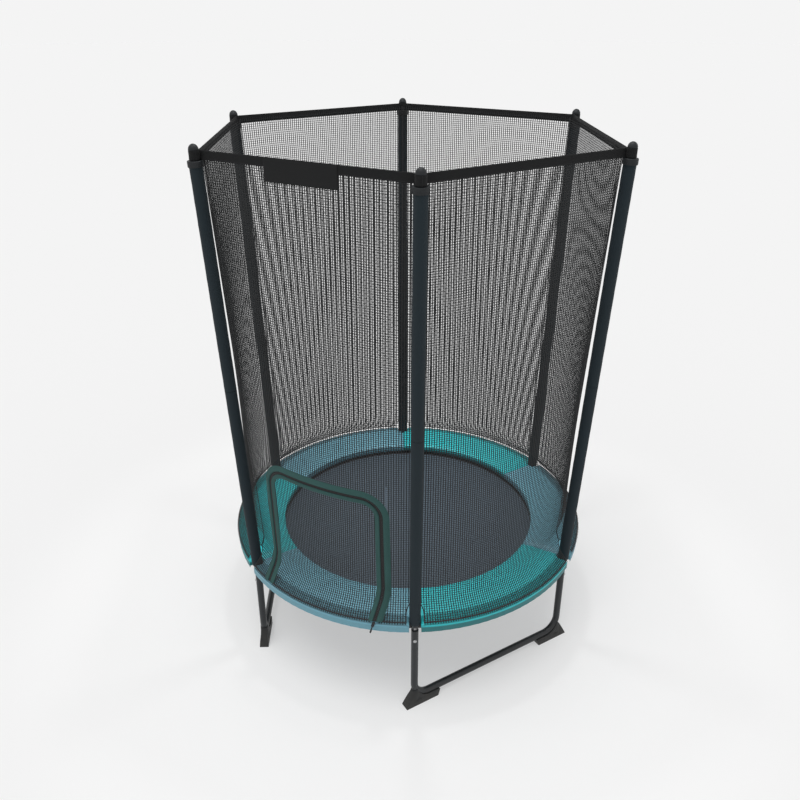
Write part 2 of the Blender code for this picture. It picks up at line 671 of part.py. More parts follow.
def notch_tools():
    """Arched openings in the net's flare, one for each pole."""
    crown = NET_KNEE_HEIGHT - NOTCH_CROWN
    spring_line = crown - NOTCH_SPRING
    arc = [(NOTCH_HALF_WIDTH * math.cos(turn), spring_line + NOTCH_SPRING * math.sin(turn))
           for turn in (math.radians(degrees) for degrees in range(0, 181, 30))]
    outline = [(NOTCH_HALF_WIDTH, NET_HEM_HEIGHT - 0.02)] + arc + [(-NOTCH_HALF_WIDTH, NET_HEM_HEIGHT - 0.02)]

    def point(distance, across, height):
        return Vector((distance, across, height))

    notch = prism("notch", outline, point, NET_WAIST - 0.02, NET_HEM + 0.05)
    return joined([turned(notch, station_angle(station)) for station in range(STATIONS)], "notches")


# ================================================================ door in the net
def door_reach():
    """Distances in front of and behind the net that a cut through the door side needs."""
    return NET_APOTHEM - DOOR_CUT_IN, NET_HEM + DOOR_CUT_OUT


def door_prism(name, outline):
    near, far = door_reach()

    def point(distance, across, height):
        return side_point(DOOR_FACE, distance, across, height)

    return prism(name, outline, point, near, far)


def arch(half, top, radius, steps=4):
    """Upper outline of a doorway with rounded corners, from right to left."""
    points = []
    for side, start in ((1.0, 0.0), (-1.0, 90.0)):
        for step in range(steps + 1):
            turn = math.radians(start + 90.0 * step / steps)
            points.append((side * (half - radius) + radius * math.cos(turn), top - radius + radius * math.sin(turn)))
    return points


def corner_tools(half, top, radius):
    """The two slivers outside a doorway's rounded top corners."""
    spare = 0.02
    points = arch(half, top, radius)
    right = points[:len(points) // 2]
    outline = right + [(half - radius, top + spare), (half + spare, top + spare), (half + spare, top - radius)]
    left = [(-across, height) for across, height in reversed(outline)]
    return joined([door_prism("door_corner", outline), door_prism("door_corner", left)], "door_corners")


def door_sheet(lines, heights, keep):
    """A patch of the net's surface at the door, with the cells that a rule keeps."""
    work = bmesh.new()
    grid = [[work.verts.new(net_point(DOOR_FACE, across, height)) for across in lines] for height in heights]
    for row in range(len(heights) - 1):
        for column in range(len(lines) - 1):
            if keep(column, row):
                work.faces.new((grid[row][column], grid[row][column + 1],
                                grid[row + 1][column + 1], grid[row + 1][column]))
    loose = [point for point in work.verts if not point.link_faces]
    bmesh.ops.delete(work, geom=loose, context="VERTS")
    return thickened(mesh_from(work, "door_sheet"))


def door_lines():
    half = DOOR_HALF_WIDTH - DOOR_SPLIT / 2.0
    strand = NET_STRAND / 2.0
    quarter = half / 2.0
    left = [-half, -half + DOOR_STRIP, -quarter - strand, -quarter + strand, -strand]
    return left + [-line for line in reversed(left)]


def door_panel_mesh():
    """The door: a bordered lattice that fills the doorway inside its zip."""
    top = DOOR_TOP - DOOR_SPLIT / 2.0
    rings = [ring for ring in net_heights() if ring[1] < top - DOOR_STRIP]
    heights = [height for ring in rings for height in ring] + [top - DOOR_STRIP, top]

    def keep(column, row):
        return row % 2 == 0 or column % 2 == 0

    sheet = door_sheet(door_lines(), heights, keep)
    half = DOOR_HALF_WIDTH - DOOR_SPLIT / 2.0
    return combine(sheet, [("DIFFERENCE", corner_tools(half, top, DOOR_CORNER))], "door_panel")


def door_binding_mesh():
    """The bound edge of the doorway, sewn to the net, that carries the fixed side of the zip."""
    half = DOOR_HALF_WIDTH + DOOR_SPLIT / 2.0
    outer = DOOR_HALF_WIDTH + BINDING_WIDTH
    lines = [-outer] + door_lines()[1:-1] + [outer]
    heights = [NET_HEM_HEIGHT, NET_KNEE_HEIGHT, NET_WAIST_HEIGHT, BINDING_TOP]
    sheet = door_sheet(lines, heights, lambda column, row: True)
    inside = arch(half, DOOR_TOP + DOOR_SPLIT / 2.0, DOOR_CORNER + DOOR_SPLIT)
    opening = door_prism("doorway", inside + [(-half, NET_HEM_HEIGHT - 0.05), (half, NET_HEM_HEIGHT - 0.05)])
    corners = corner_tools(outer, BINDING_TOP, DOOR_CORNER + BINDING_WIDTH)
    return combine(sheet, [("DIFFERENCE", opening), ("DIFFERENCE", corners)], "door_binding")


def label_mesh():
    """The bare patch sewn over the band."""
    near = BAND_OUTER + GAP
    outline = [(LABEL_LEFT, LABEL_BOTTOM), (LABEL_RIGHT, LABEL_BOTTOM), (LABEL_RIGHT, BAND_TOP), (LABEL_LEFT, BAND_TOP)]

    def point(distance, across, height):
        return side_point(DOOR_FACE, distance, across, height)

    return prism("label_patch", outline, point, near, near + LABEL_THICKNESS)


# ================================================================ zip slider and pull
def zip_frame():
    """Start of the zip at the hem, with its direction up the flare and the way out of the net."""
    low = net_point(DOOR_FACE, DOOR_HALF_WIDTH, NET_HEM_HEIGHT)
    high = net_point(DOOR_FACE, DOOR_HALF_WIDTH, NET_KNEE_HEIGHT)
    along = (high - low).normalized()
    left = net_point(DOOR_FACE, DOOR_HALF_WIDTH - SLIDER_WIDTH / 2.0, NET_HEM_HEIGHT)
    right = net_point(DOOR_FACE, DOOR_HALF_WIDTH + SLIDER_WIDTH / 2.0, NET_HEM_HEIGHT)
    across = right - left
    sideways = (across - along * across.dot(along)).normalized()
    out = along.cross(sideways)
    if out.z < 0.0:
        out = -out
    return low, along, sideways, out


def block(name, centre, axes, size):
    """A box with its own axes."""
    length, width, depth = (axis * (side / 2.0) for axis, side in zip(axes, size))
    corners = (-width - depth, width - depth, width + depth, depth - width)
    return skin(name, [[centre + end + corner for corner in corners] for end in (-length, length)])


def pin_centre():
    low, along, sideways, out = zip_frame()
    body_out = NET_THICKNESS / 2.0 + GAP + SLIDER_THICKNESS
    return low - along * (SLIDER_START + SLIDER_LENGTH * 0.25) + out * (body_out + EAR_HEIGHT * 0.55)


def slider_mesh():
    """The zip's slider with two ears and the pin that its pull swings on."""
    low, along, sideways, out = zip_frame()
    lift = NET_THICKNESS / 2.0 + GAP + SLIDER_THICKNESS / 2.0
    centre = low - along * SLIDER_START + out * lift
    body = block("slider_body", centre, (along, sideways, out), (SLIDER_LENGTH, SLIDER_WIDTH, SLIDER_THICKNESS))
    pin = pin_centre()
    ear_out = PULL_WIDTH / 2.0 + GAP + EAR_THICKNESS / 2.0
    ear_base = pin - out * (EAR_HEIGHT * 0.25)
    ears = [block("slider_ear", ear_base + sideways * (side * ear_out), (along, sideways, out),
                  (EAR_HEIGHT, EAR_THICKNESS, EAR_HEIGHT * 1.3)) for side in (-1.0, 1.0)]
    reach = ear_out
    axle = turned_column("slider_pin", [(-reach, PIN_RADIUS), (reach, PIN_RADIUS)], pin, sideways, out, False, 8)
    steps = [("UNION", joined(ears, "slider_ears")), ("UNION", axle)]
    return combine(body, steps, "zip_slider")


def pull_mesh():
    """A flat tab with an eye round the slider's pin."""
    low, along, sideways, out = zip_frame()
    pin = pin_centre()
    eye = turned_column("pull_eye", [(-PULL_WIDTH / 2.0, PULL_EYE), (PULL_WIDTH / 2.0, PULL_EYE)],
                        pin, sideways, out, False, 8)
    tab_centre = pin - along * (PULL_LENGTH / 2.0 + PIN_RADIUS)
    tab = block("pull_tab", tab_centre, (along, sideways, out), (PULL_LENGTH, PULL_WIDTH, PULL_THICKNESS))
    hole_radius = PIN_RADIUS + GAP
    hole = turned_column("pull_hole", [(-PULL_WIDTH, hole_radius), (PULL_WIDTH, hole_radius)],
                         pin, sideways, out, False, 8)
    return combine(eye, [("UNION", tab), ("DIFFERENCE", hole)], "zip_pull")


# ================================================================ the whole trampoline
def build():
    clear_scene()
    steel = make_material("black_steel", (0.018, 0.018, 0.020), 0.42, 0.35)
    foam = make_material("black_foam", (0.020, 0.020, 0.022), 0.90)
    plastic = make_material("black_plastic", (0.022, 0.022, 0.024), 0.50)
    webbing = make_material("black_webbing", (0.014, 0.014, 0.015), 0.85)
    netting = make_material("black_netting", (0.016, 0.016, 0.017), 0.80)
    mat = make_material("mat_fabric", (0.030, 0.036, 0.046), 0.75)
    teal = make_material("teal_cover", (0.024, 0.463, 0.418), 0.55)
    slate = make_material("slate_cover", (0.127, 0.283, 0.352), 0.55)
    binding = make_material("teal_binding", (0.038, 0.150, 0.130), 0.80)
    zinc = make_material("black_zinc", (0.030, 0.030, 0.032), 0.35, 0.8)

    rim = rim_mesh()
    leg = leg_mesh()
    foot = foot_mesh()
    pole_lower = pole_lower_mesh()
    pole_upper = pole_upper_mesh()
    cap = cap_mesh()
    seam = POLE_JOINT_HEIGHT
    sleeve_lower = sleeve_mesh(SLEEVE_BOTTOM, seam - GAP / 2.0, SLEEVE_ROUND)
    sleeve_upper = sleeve_mesh(seam + GAP / 2.0, cap_bottom() - GAP, 0.0)
    for station in range(STATIONS):
        number = station + 1
        angle = station_angle(station)
        place(f"rim_segment_{number}", rim, steel, angle)
        place(f"pole_lower_{number}", pole_lower, steel, angle)
        place(f"pole_upper_{number}", pole_upper, steel, angle)
        place(f"sleeve_lower_{number}", sleeve_lower, foam, angle)
        place(f"sleeve_upper_{number}", sleeve_upper, foam, angle)
        place(f"pole_cap_{number}", cap, plastic, angle)

    chord_distance = LEG_CIRCLE * math.cos(HALF_STEP)
    half_chord = LEG_CIRCLE * math.sin(HALF_STEP)
    for pair in range(STATIONS // 2):
        side = face_angle(2 * pair)
        middle = Matrix.Rotation(side, 3, "Z") @ Vector((chord_distance, 0.0, 0.0))
        upright_leg = place(f"leg_{pair + 1}", leg, steel, side + math.pi / 2.0)
        upright_leg.location = middle
        for end in (0, 1):
            turn = side + math.pi / 2.0 + math.pi * end
            shoe = place(f"foot_{2 * pair + end + 1}", foot, plastic, turn)
            shoe.location = middle - Matrix.Rotation(turn, 3, "Z") @ Vector((half_chord, 0.0, 0.0))

    pads = {"teal": pad_mesh(), "slate": pad_mesh()}
    for face in range(STATIONS):
        color = "teal" if face % 2 == 0 else "slate"
        place(f"pad_{face + 1}", pads[color], teal if color == "teal" else slate, face_angle(face))

    place("jump_mat", mat_mesh(), mat)
    place("net", net_mesh(), netting)
    place("top_band", band_mesh(), webbing)
    place("label_patch", label_mesh(), webbing)
    place("door_panel", door_panel_mesh(), binding)
    place("door_binding", door_binding_mesh(), binding)
    place("zip_slider", slider_mesh(), zinc)
    place("zip_pull", pull_mesh(), zinc)


build()
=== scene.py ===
"""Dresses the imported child's trampoline: steel, foam, padded covers, mat, springs, net and door.

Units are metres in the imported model's frame: +Z is up and the origin is on the ground under the mat.
Six stations stand 60 degrees apart. Station 0 points to -Y, and the numbers rise anticlockwise.
Side k lies between station k and station k + 1. The net door is in side 5.
"""

import json
import math

import bmesh
import bpy
from mathutils import Matrix, Vector


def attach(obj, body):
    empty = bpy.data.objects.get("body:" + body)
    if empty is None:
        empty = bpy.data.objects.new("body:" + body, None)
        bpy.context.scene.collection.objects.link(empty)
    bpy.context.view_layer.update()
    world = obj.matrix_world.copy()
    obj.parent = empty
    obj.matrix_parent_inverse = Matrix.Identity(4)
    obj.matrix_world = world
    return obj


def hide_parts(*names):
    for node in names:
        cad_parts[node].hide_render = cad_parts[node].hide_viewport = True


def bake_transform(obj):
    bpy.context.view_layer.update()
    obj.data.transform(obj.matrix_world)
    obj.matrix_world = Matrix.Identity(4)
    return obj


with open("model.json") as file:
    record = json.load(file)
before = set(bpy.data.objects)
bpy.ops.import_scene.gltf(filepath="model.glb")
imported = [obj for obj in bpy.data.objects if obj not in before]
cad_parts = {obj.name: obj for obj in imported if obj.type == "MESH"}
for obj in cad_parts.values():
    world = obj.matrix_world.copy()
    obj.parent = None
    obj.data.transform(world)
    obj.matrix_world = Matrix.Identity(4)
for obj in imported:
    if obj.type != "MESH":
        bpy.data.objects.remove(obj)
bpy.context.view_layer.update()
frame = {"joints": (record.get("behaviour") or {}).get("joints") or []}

# ================================================================ sizes
STATIONS = 6
STEP = 2.0 * math.pi / STATIONS
FIRST_ANGLE = -math.pi / 2.0
HALF_STEP = STEP / 2.0
UP = Vector((0.0, 0.0, 1.0))
CLEARANCE = 0.0003

LEG_CIRCLE = 0.8775
LEG_TUBE_RADIUS = 0.0168
LEG_BEND = 0.080
BASE_TUBE_HEIGHT = 0.047
SOCKET_RADIUS = 0.01675
SOCKET_BORE = 0.01525
SOCKET_BOTTOM = 0.355
SOCKET_TOP = 0.459
SOCKET_BOLT_HEIGHT = 0.403
SWAGE_RADIUS = 0.01495
SWAGE_BORE = 0.01345
SWAGE_LENGTH = 0.085
RIM_HEIGHT = 0.460
RIM_TUBE_RADIUS = 0.019
RIM_CIRCLE = 0.84275
RIM_BORE = 0.0175
RIM_PLUG_ANGLE = math.radians(2.5)

FOOT_HALF_WIDTH = 0.0225
FOOT_TOE = 0.053
FOOT_HEEL = 0.1245
FOOT_HEEL_LEAN = 0.011
FOOT_HEEL_HEIGHT = 0.030
FOOT_LIP_RISE = 0.0035
FOOT_LIP_DROP = 0.0065

POLE_RADIUS = 0.0125
POLE_BORE = 0.0113
POLE_LEAN = math.radians(2.49)
POLE_BEND_HEIGHT = 0.475
POLE_BOTTOM = 0.400
POLE_JOINT_HEIGHT = 1.470
POLE_SPIGOT_LENGTH = 0.060
POLE_SCREW_HEIGHT = 0.4730
POLE_TOP = 2.484
SLEEVE_RADIUS = 0.0265
SLEEVE_BOTTOM = 0.490
CAP_BOTTOM = 2.4295
CAP_COLLAR_HEIGHT = 0.024
CAP_COLLAR_RADIUS = 0.031
CAP_NECK_RADIUS = 0.018
CAP_DOME_RADIUS = 0.020
CAP_DOME_HEIGHT = 0.0225

BAND_BOTTOM = 2.455
BAND_TOP = 2.491
BAND_OUTER = 0.82132
BAND_THICKNESS = 0.002
BAND_CORNER = 0.94448
BAND_LOOP_CIRCLE = 0.96438
BAND_LOOP_RADIUS = 0.0212

PAD_TOP = 0.520
PAD_BOTTOM = 0.4793
PAD_INNER = 0.66399
PAD_OUTER = 0.910
PAD_SEAM = 0.0005
SKIRT_BOTTOM = 0.470
SKIRT_THICKNESS = 0.0025
SLOT_CIRCLE = 0.8725
SLOT_RADIUS = 0.0275
PAD_LENGTH_SHARE = 0.79
PAD_ROLL_DROP = 0.0085
PAD_ROLL_WIDTH = 0.0065
FILL_RISE = 0.0065
FILL_SINK = 0.0015
FILL_SIDEWAYS = 0.003
FILL_FRAMES = 21
# Height below which the pads' cover colour carries painted shade, and the height over which that shade fades
# in.
PAINTED_SHADE_EDGE = 0.503
PAINTED_SHADE_BLEND = 0.006

MAT_RADIUS = 0.70499
MAT_THICKNESS = 0.003
SPRING_COUNT = 36

NET_TOP = 2.4885
NET_TOP_HALF = 0.46444
NET_TOP_APOTHEM = 0.81802
NET_TOP_CORNER = 0.92888
NET_WAIST = 0.830
NET_WAIST_HEIGHT = 0.650
NET_KNEE = 0.845
NET_KNEE_HEIGHT = 0.600
NET_HEM = 0.910
NET_HEM_HEIGHT = 0.5235
NET_SOFTNESS = 0.012
NOTCH_HALF_WIDTH = 0.039
NOTCH_CROWN = 0.5965
NOTCH_ARCH = 0.050
UPRIGHT_YARNS = 84
UPRIGHT_WIDTH = 0.0040
LEVEL_WIDTH = 0.0021
LEVEL_PITCH = 0.010
YARN_THICKNESS = 0.0009
YARN_OFFSET = 0.0003

DOOR_SIDE = 5
DOOR_HALF_WIDTH = 0.288
DOOR_TOP = 1.122
DOOR_CORNER = 0.090
DOOR_STRIP = 0.028
BINDING_WIDTH = 0.035
ZIP_HALF_WIDTH = 0.0074
TOOTH_PITCH = 0.0030
STITCH_LENGTH = 0.0042
THREAD_WIDTH = 0.0009

LABEL_LEFT = -0.170
LABEL_RIGHT = 0.150
LABEL_BOTTOM = 2.402


# ================================================================ piecework
class Piecework:
    """Points, faces, cloth lengths and finishes gathered for one piece."""

    def __init__(self):
        self.points = []
        self.faces = []
        self.lengths = []
        self.finishes = []

    def face(self, corners, lengths, finish):
        self.faces.append(corners)
        self.lengths.extend(lengths)
        self.finishes.append(finish)

    def loft(self, rings, finish=0, wrap=True, ends=True, closed=False):
        """Joins a row of equal rings. Wrap closes each ring, and closed joins the last to the first."""
        first = len(self.points)
        count = len(rings[0])
        for ring in rings:
            self.points.extend(ring)
        along = running([ring[0] for ring in rings] + ([rings[0][0]] if closed else []))
        widest = max(rings, key=lambda ring: (ring[0] - ring[count // 2]).length)
        round_it = running(list(widest) + ([widest[0]] if wrap else []))
        for row in range(len(rings) - (0 if closed else 1)):
            after = (row + 1) % len(rings)
            for column in range(count - (0 if wrap else 1)):
                beside = (column + 1) % count
                corners = (first + row * count + column, first + row * count + beside,
                           first + after * count + beside, first + after * count + column)
                self.face(corners, ((along[row], round_it[column]), (along[row], round_it[column + 1]),
                                    (along[row + 1], round_it[column + 1]),
                                    (along[row + 1], round_it[column])), finish)
        if wrap and ends and not closed:
            for row, turn in ((0, -1), (len(rings) - 1, 1)):
                corners = [first + row * count + column for column in range(count)][::turn]
                middle = sum(rings[row], Vector()) / count
                self.face(corners, [tuple((self.points[corner] - middle).xy) for corner in corners], finish)


def running(points):
    """Distance run to each point of a line."""
    total = [0.0]
    for before, after in zip(points, points[1:]):
        total.append(total[-1] + (after - before).length)
    return total


def mesh_of(work, name, finishes):
    mesh = bpy.data.meshes.new(name)
    mesh.from_pydata([tuple(point) for point in work.points], [], work.faces)
    cloth = mesh.uv_layers.new(name="lengths")
    cloth.data.foreach_set("uv", [value for pair in work.lengths for value in pair])
    for finish in finishes:
        mesh.materials.append(finish)
    mesh.polygons.foreach_set("material_index", work.finishes)
    shaped = bmesh.new()
    shaped.from_mesh(mesh)
    bmesh.ops.recalc_face_normals(shaped, faces=shaped.faces)
    shaped.to_mesh(mesh)
    shaped.free()
    mesh.shade_smooth()
    mesh.set_sharp_from_angle(angle=math.radians(40.0))
    return mesh


def place_in_scene(name, data):
    made = bpy.data.objects.new(name, data)
    bpy.context.scene.collection.objects.link(made)
    return made


def put(name, mesh, body, stands_for=(), turn=0.0, shift=(0.0, 0.0, 0.0)):
    """One piece of the trampoline, turned about +Z, set in place and fixed to its body."""
    mesh = mesh.copy()
    mesh.transform(Matrix.Translation(Vector(shift)) @ Matrix.Rotation(turn, 4, "Z"))
    piece = place_in_scene(name, mesh)
    if body:
        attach(piece, body)
    if stands_for:
        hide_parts(*stands_for)
    return piece


def station_angle(station):
    return FIRST_ANGLE + STEP * station


def side_angle(side):
    return station_angle(side) + HALF_STEP


def polar(radius, angle, height):
    return Vector((radius * math.cos(angle), radius * math.sin(angle), height))


def between(low, high, share):
    return low + (high - low) * share


def steps(low, high, count):
    """Evenly spaced values from low to high, both included."""
    return [between(low, high, index / count) for index in range(count + 1)]


def circle(centre, across, up, radius, sides):
    turns = [2.0 * math.pi * index / sides for index in range(sides)]
    return [centre + across * (radius * math.cos(turn)) + up * (radius * math.sin(turn)) for turn in turns]


def rod(work, path, radius, sides=8, finish=0, closed=False):
    """A round rod or cord along a path. The radius is one number, or one for each point."""
    radii = radius if isinstance(radius, (list, tuple)) else [radius] * len(path)
    rings = []
    side = None
    for index, point in enumerate(path):
        before = path[index - 1] if index or closed else point
        after = path[(index + 1) % len(path)] if index + 1 < len(path) or closed else point
        heading = (after - before).normalized()
        if side is None:
            side = heading.orthogonal().normalized()
        side = (side - heading * side.dot(heading)).normalized()
        rings.append(circle(point, side, heading.cross(side), radii[index], sides))
    work.loft(rings, finish, closed=closed)


def turned(work, profile, foot, axis, across, sides=32, finish=0, closed=False):
    """A round form about a straight axis, from (distance along it, radius) pairs."""
    up = axis.cross(across).normalized()
    rings = [circle(foot + axis * along, across, up, max(radius, 0.00005), sides) for along,
             radius in profile]
    work.loft(rings, finish, closed=closed)


# ================================================================ finishes
def node(tree, kind, feeds=None, **settings):
    """A shader node with its settings, and values or links for its inputs."""
    made = tree.nodes.new(kind)
    for setting, value in settings.items():
        setattr(made, setting, value)
    for name, value in (feeds or {}).items():
        if isinstance(value, bpy.types.NodeSocket):
            tree.links.new(value, made.inputs[name])
        else:
            made.inputs[name].default_value = value
    return made


def maths(tree, operation, first, second=0.0, third=0.0):
    return node(tree, "ShaderNodeMath", {0: first, 1: second, 2: third}, operation=operation).outputs[0]


def new_group(name, inputs, outputs):
    """An empty node group with named sockets, and its input and output nodes."""
    tree = bpy.data.node_groups.new(name, "ShaderNodeTree")
    kinds = {"value": "NodeSocketFloat", "colour": "NodeSocketColor", "place": "NodeSocketVector"}
    for label, kind in inputs:
        tree.interface.new_socket(label, in_out="INPUT", socket_type=kinds[kind])
    for label, kind in outputs:
        tree.interface.new_socket(label, in_out="OUTPUT", socket_type=kinds[kind])
    return tree, tree.nodes.new("NodeGroupInput").outputs, tree.nodes.new("NodeGroupOutput").inputs


def make_weave_group():
    """Crossing yarns, over and under, from lengths of cloth. Slant turns the crossings into twill. Shade is
    painted shade: darker in the hollows between crossings, lighter on the yarn tops.
    """
    tree, given, result = new_group("Woven yarns", [("Lengths", "place"), ("Yarns per metre", "value"),
                                                     ("Slant", "value")],
                                                     [("Height", "value"), ("Shade", "value")])
    scaled = node(tree, "ShaderNodeVectorMath", {0: given["Lengths"], "Scale": given["Yarns per metre"]},
                  operation="SCALE").outputs[0]
    parts = node(tree, "ShaderNodeSeparateXYZ", {0: scaled}).outputs
    slanted = maths(tree, "MULTIPLY_ADD", parts[1], given["Slant"], parts[0])
    warp = maths(tree, "SINE", maths(tree, "MULTIPLY", slanted, math.pi))
    weft = maths(tree, "SINE", maths(tree, "MULTIPLY", parts[1], math.pi))
    crossing = maths(tree, "MULTIPLY_ADD", maths(tree, "MULTIPLY", warp, weft), 0.5, 0.5)
    tree.links.new(crossing, result["Height"])
    # Painted shade and highlight: the colour factor follows the crossing height, from 0.75 in the hollows to
    # 1.1 on the yarn tops.
    tree.links.new(maths(tree, "MULTIPLY_ADD", crossing, 0.35, 0.75), result["Shade"])
    return tree


def make_tone_group():
    """A colour that drifts a little darker and lighter over the piece, as dyed and used cloth does."""
    tree, given, result = new_group("Drifting tone",
                                    [("Place", "place"), ("Colour", "colour"), ("Size", "value"),
                                                       ("Drift", "value")],
                                                       [("Colour", "colour"), ("Mask", "value")])
    wide = node(tree, "ShaderNodeTexNoise", {"Vector": given["Place"], "Scale": given["Size"],
                                             "Detail": 4.0}).outputs[0]
    fine = node(tree, "ShaderNodeTexNoise", {"Vector": given["Place"],
                                             "Scale": maths(tree, "MULTIPLY", given["Size"], 14.0),
                                             "Detail": 2.0}).outputs[0]
    mask = maths(tree, "MULTIPLY_ADD", wide, 0.7, maths(tree, "MULTIPLY", fine, 0.3))
    swing = maths(tree, "MULTIPLY", maths(tree, "SUBTRACT", mask, 0.5), given["Drift"])
    level = maths(tree, "MULTIPLY_ADD", swing, 2.0, 1.0)
    shaded = node(tree, "ShaderNodeVectorMath", {0: given["Colour"], "Scale": level},
                  operation="SCALE").outputs[0]
    tree.links.new(shaded, result["Colour"])
    tree.links.new(mask, result["Mask"])
    return tree


def make_grain_group():
    """Fine moulded or sprayed grain, as a height."""
    tree, given, result = new_group("Fine grain", [("Place", "place"), ("Grains per metre", "value")],
                                    [("Height", "value")])
    soft = node(tree, "ShaderNodeTexNoise", {"Vector": given["Place"], "Scale": given["Grains per metre"],
                                             "Detail": 3.0, "Roughness": 0.6}).outputs[0]
    tree.links.new(soft, result["Height"])
    return tree


def make_dust_group():
    """Dry dust that gathers low down, near the grass."""
    tree, given, result = new_group("Ground dust", [("Place", "place"), ("Colour", "colour"),
                                                    ("Dust", "colour"),
                                                     ("Reach", "value"), ("Strength", "value")],
                                    [("Colour", "colour"), ("Mask", "value")])
    height = node(tree, "ShaderNodeSeparateXYZ", {0: given["Place"]}).outputs[2]
    low = maths(tree, "SUBTRACT", 1.0, maths(tree, "DIVIDE", height, given["Reach"]))
    low = node(tree, "ShaderNodeClamp", {0: low}).outputs[0]
    patches = node(tree, "ShaderNodeTexNoise", {"Vector": given["Place"], "Scale": 38.0,
                                                "Detail": 5.0}).outputs[0]
    mask = maths(tree, "MULTIPLY", maths(tree, "MULTIPLY", low, patches), given["Strength"])
    mixed = node(tree, "ShaderNodeMix", {0: mask, 6: given["Colour"], 7: given["Dust"]},
                 data_type="RGBA").outputs[2]
    tree.links.new(mixed, result["Colour"])
    tree.links.new(mask, result["Mask"])
    return tree


def make_stitch_group():
    """A row of lockstitches at one distance across the cloth, as a mask and a height."""
    tree, given, result = new_group("Stitch row", [("Lengths", "place"), ("Row", "value"),
                                                   ("Stitch", "value"),
                                                    ("Thread", "value")],
                                                    [("Mask", "value"), ("Height", "value")])
    parts = node(tree, "ShaderNodeSeparateXYZ", {0: given["Lengths"]}).outputs
    offset = maths(tree, "DIVIDE", maths(tree, "SUBTRACT", parts[1], given["Row"]), given["Thread"])
    near = maths(tree, "SUBTRACT", 1.0, maths(tree, "MULTIPLY", offset, offset))
    near = node(tree, "ShaderNodeClamp", {0: near}).outputs[0]
    beat = maths(tree, "SINE", maths(tree, "MULTIPLY", maths(tree, "DIVIDE", parts[0], given["Stitch"]),
                                     2.0 * math.pi))
    dash = node(tree, "ShaderNodeClamp", {0: maths(tree, "MULTIPLY_ADD", beat, 2.0, 1.0)}).outputs[0]
    mask = maths(tree, "MULTIPLY", near, dash)
    tree.links.new(mask, result["Mask"])
    tree.links.new(maths(tree, "SUBTRACT", mask, maths(tree, "MULTIPLY", near, 0.5)), result["Height"])
    return tree


def make_painted_skirt_shade():
    """Painted shade: a colour made darker on the part of a cover below its top edge, standing in for the
    shade that falls on the skirt.
    """
    tree, given, result = new_group("Painted shade below top edge",
                                    [("Place", "place"), ("Colour", "colour"), ("Edge", "value"),
                                                            ("Blend", "value"), ("Shade", "value")],
                                    [("Colour", "colour"), ("Mask", "value")])
    height = node(tree, "ShaderNodeSeparateXYZ", {0: given["Place"]}).outputs[2]
    under = maths(tree, "DIVIDE", maths(tree, "SUBTRACT", given["Edge"], height), given["Blend"])
    mask = node(tree, "ShaderNodeClamp", {0: under}).outputs[0]
    # Painted shade: under the edge the colour is scaled down to the Shade factor.
    level = maths(tree, "MULTIPLY_ADD", mask, maths(tree, "SUBTRACT", given["Shade"], 1.0), 1.0)
    shaded = node(tree, "ShaderNodeVectorMath", {0: given["Colour"], "Scale": level},
                  operation="SCALE").outputs[0]
    tree.links.new(shaded, result["Colour"])
    tree.links.new(mask, result["Mask"])
    return tree


weave_group = make_weave_group()
painted_skirt_shade_group = make_painted_skirt_shade()
tone_group = make_tone_group()
grain_group = make_grain_group()
dust_group = make_dust_group()
stitch_group = make_stitch_group()


def grouped(tree, group, feeds):
    return node(tree, "ShaderNodeGroup", feeds, node_tree=group).outputs


def start_finish(name, roughness, metallic=0.0):
    """A new material with the places and lengths that its pattern is laid out by."""
    material = bpy.data.materials.new(name)
    material.use_nodes = True
    tree = material.node_tree
    shader = tree.nodes["Principled BSDF"]
    shader.inputs["Roughness"].default_value = roughness
    shader.inputs["Metallic"].default_value = metallic
    coordinates = node(tree, "ShaderNodeTexCoord").outputs
    return material, tree, shader, coordinates["Object"], coordinates["UV"]


def set_relief(tree, shader, height, depth):
    relief = node(tree, "ShaderNodeBump", {"Strength": 1.0, "Distance": depth, "Height": height})
    tree.links.new(relief.outputs[0], shader.inputs["Normal"])


def roughness_from(tree, shader, mask, low, high):
    tree.links.new(maths(tree, "MULTIPLY_ADD", mask, high - low, low), shader.inputs["Roughness"])


def hard_finish(name, colour, low, high, grains, depth, metallic=0.0, dust=0.0, coat=0.0, shine=0.5):
    """Painted steel, moulded plastic or plated metal."""
    material, tree, shader, place, _ = start_finish(name, low, metallic)
    tone = grouped(tree, tone_group, {"Place": place, "Colour": (*colour, 1.0), "Size": 7.0, "Drift": 0.35})
    dusty = grouped(tree, dust_group, {"Place": place, "Colour": tone["Colour"],
                                       "Dust": (0.20, 0.17, 0.13, 1.0),
                                       "Reach": 0.16, "Strength": dust})
    tree.links.new(dusty["Colour"], shader.inputs["Base Color"])
    roughness_from(tree, shader, tone["Mask"], low, high)
    grain = grouped(tree, grain_group, {"Place": place, "Grains per metre": grains})
    set_relief(tree, shader, grain["Height"], depth)
    shader.inputs["Specular IOR Level"].default_value = shine
    shader.inputs["Coat Weight"].default_value = coat
    shader.inputs["Coat Roughness"].default_value = 0.25
    return material


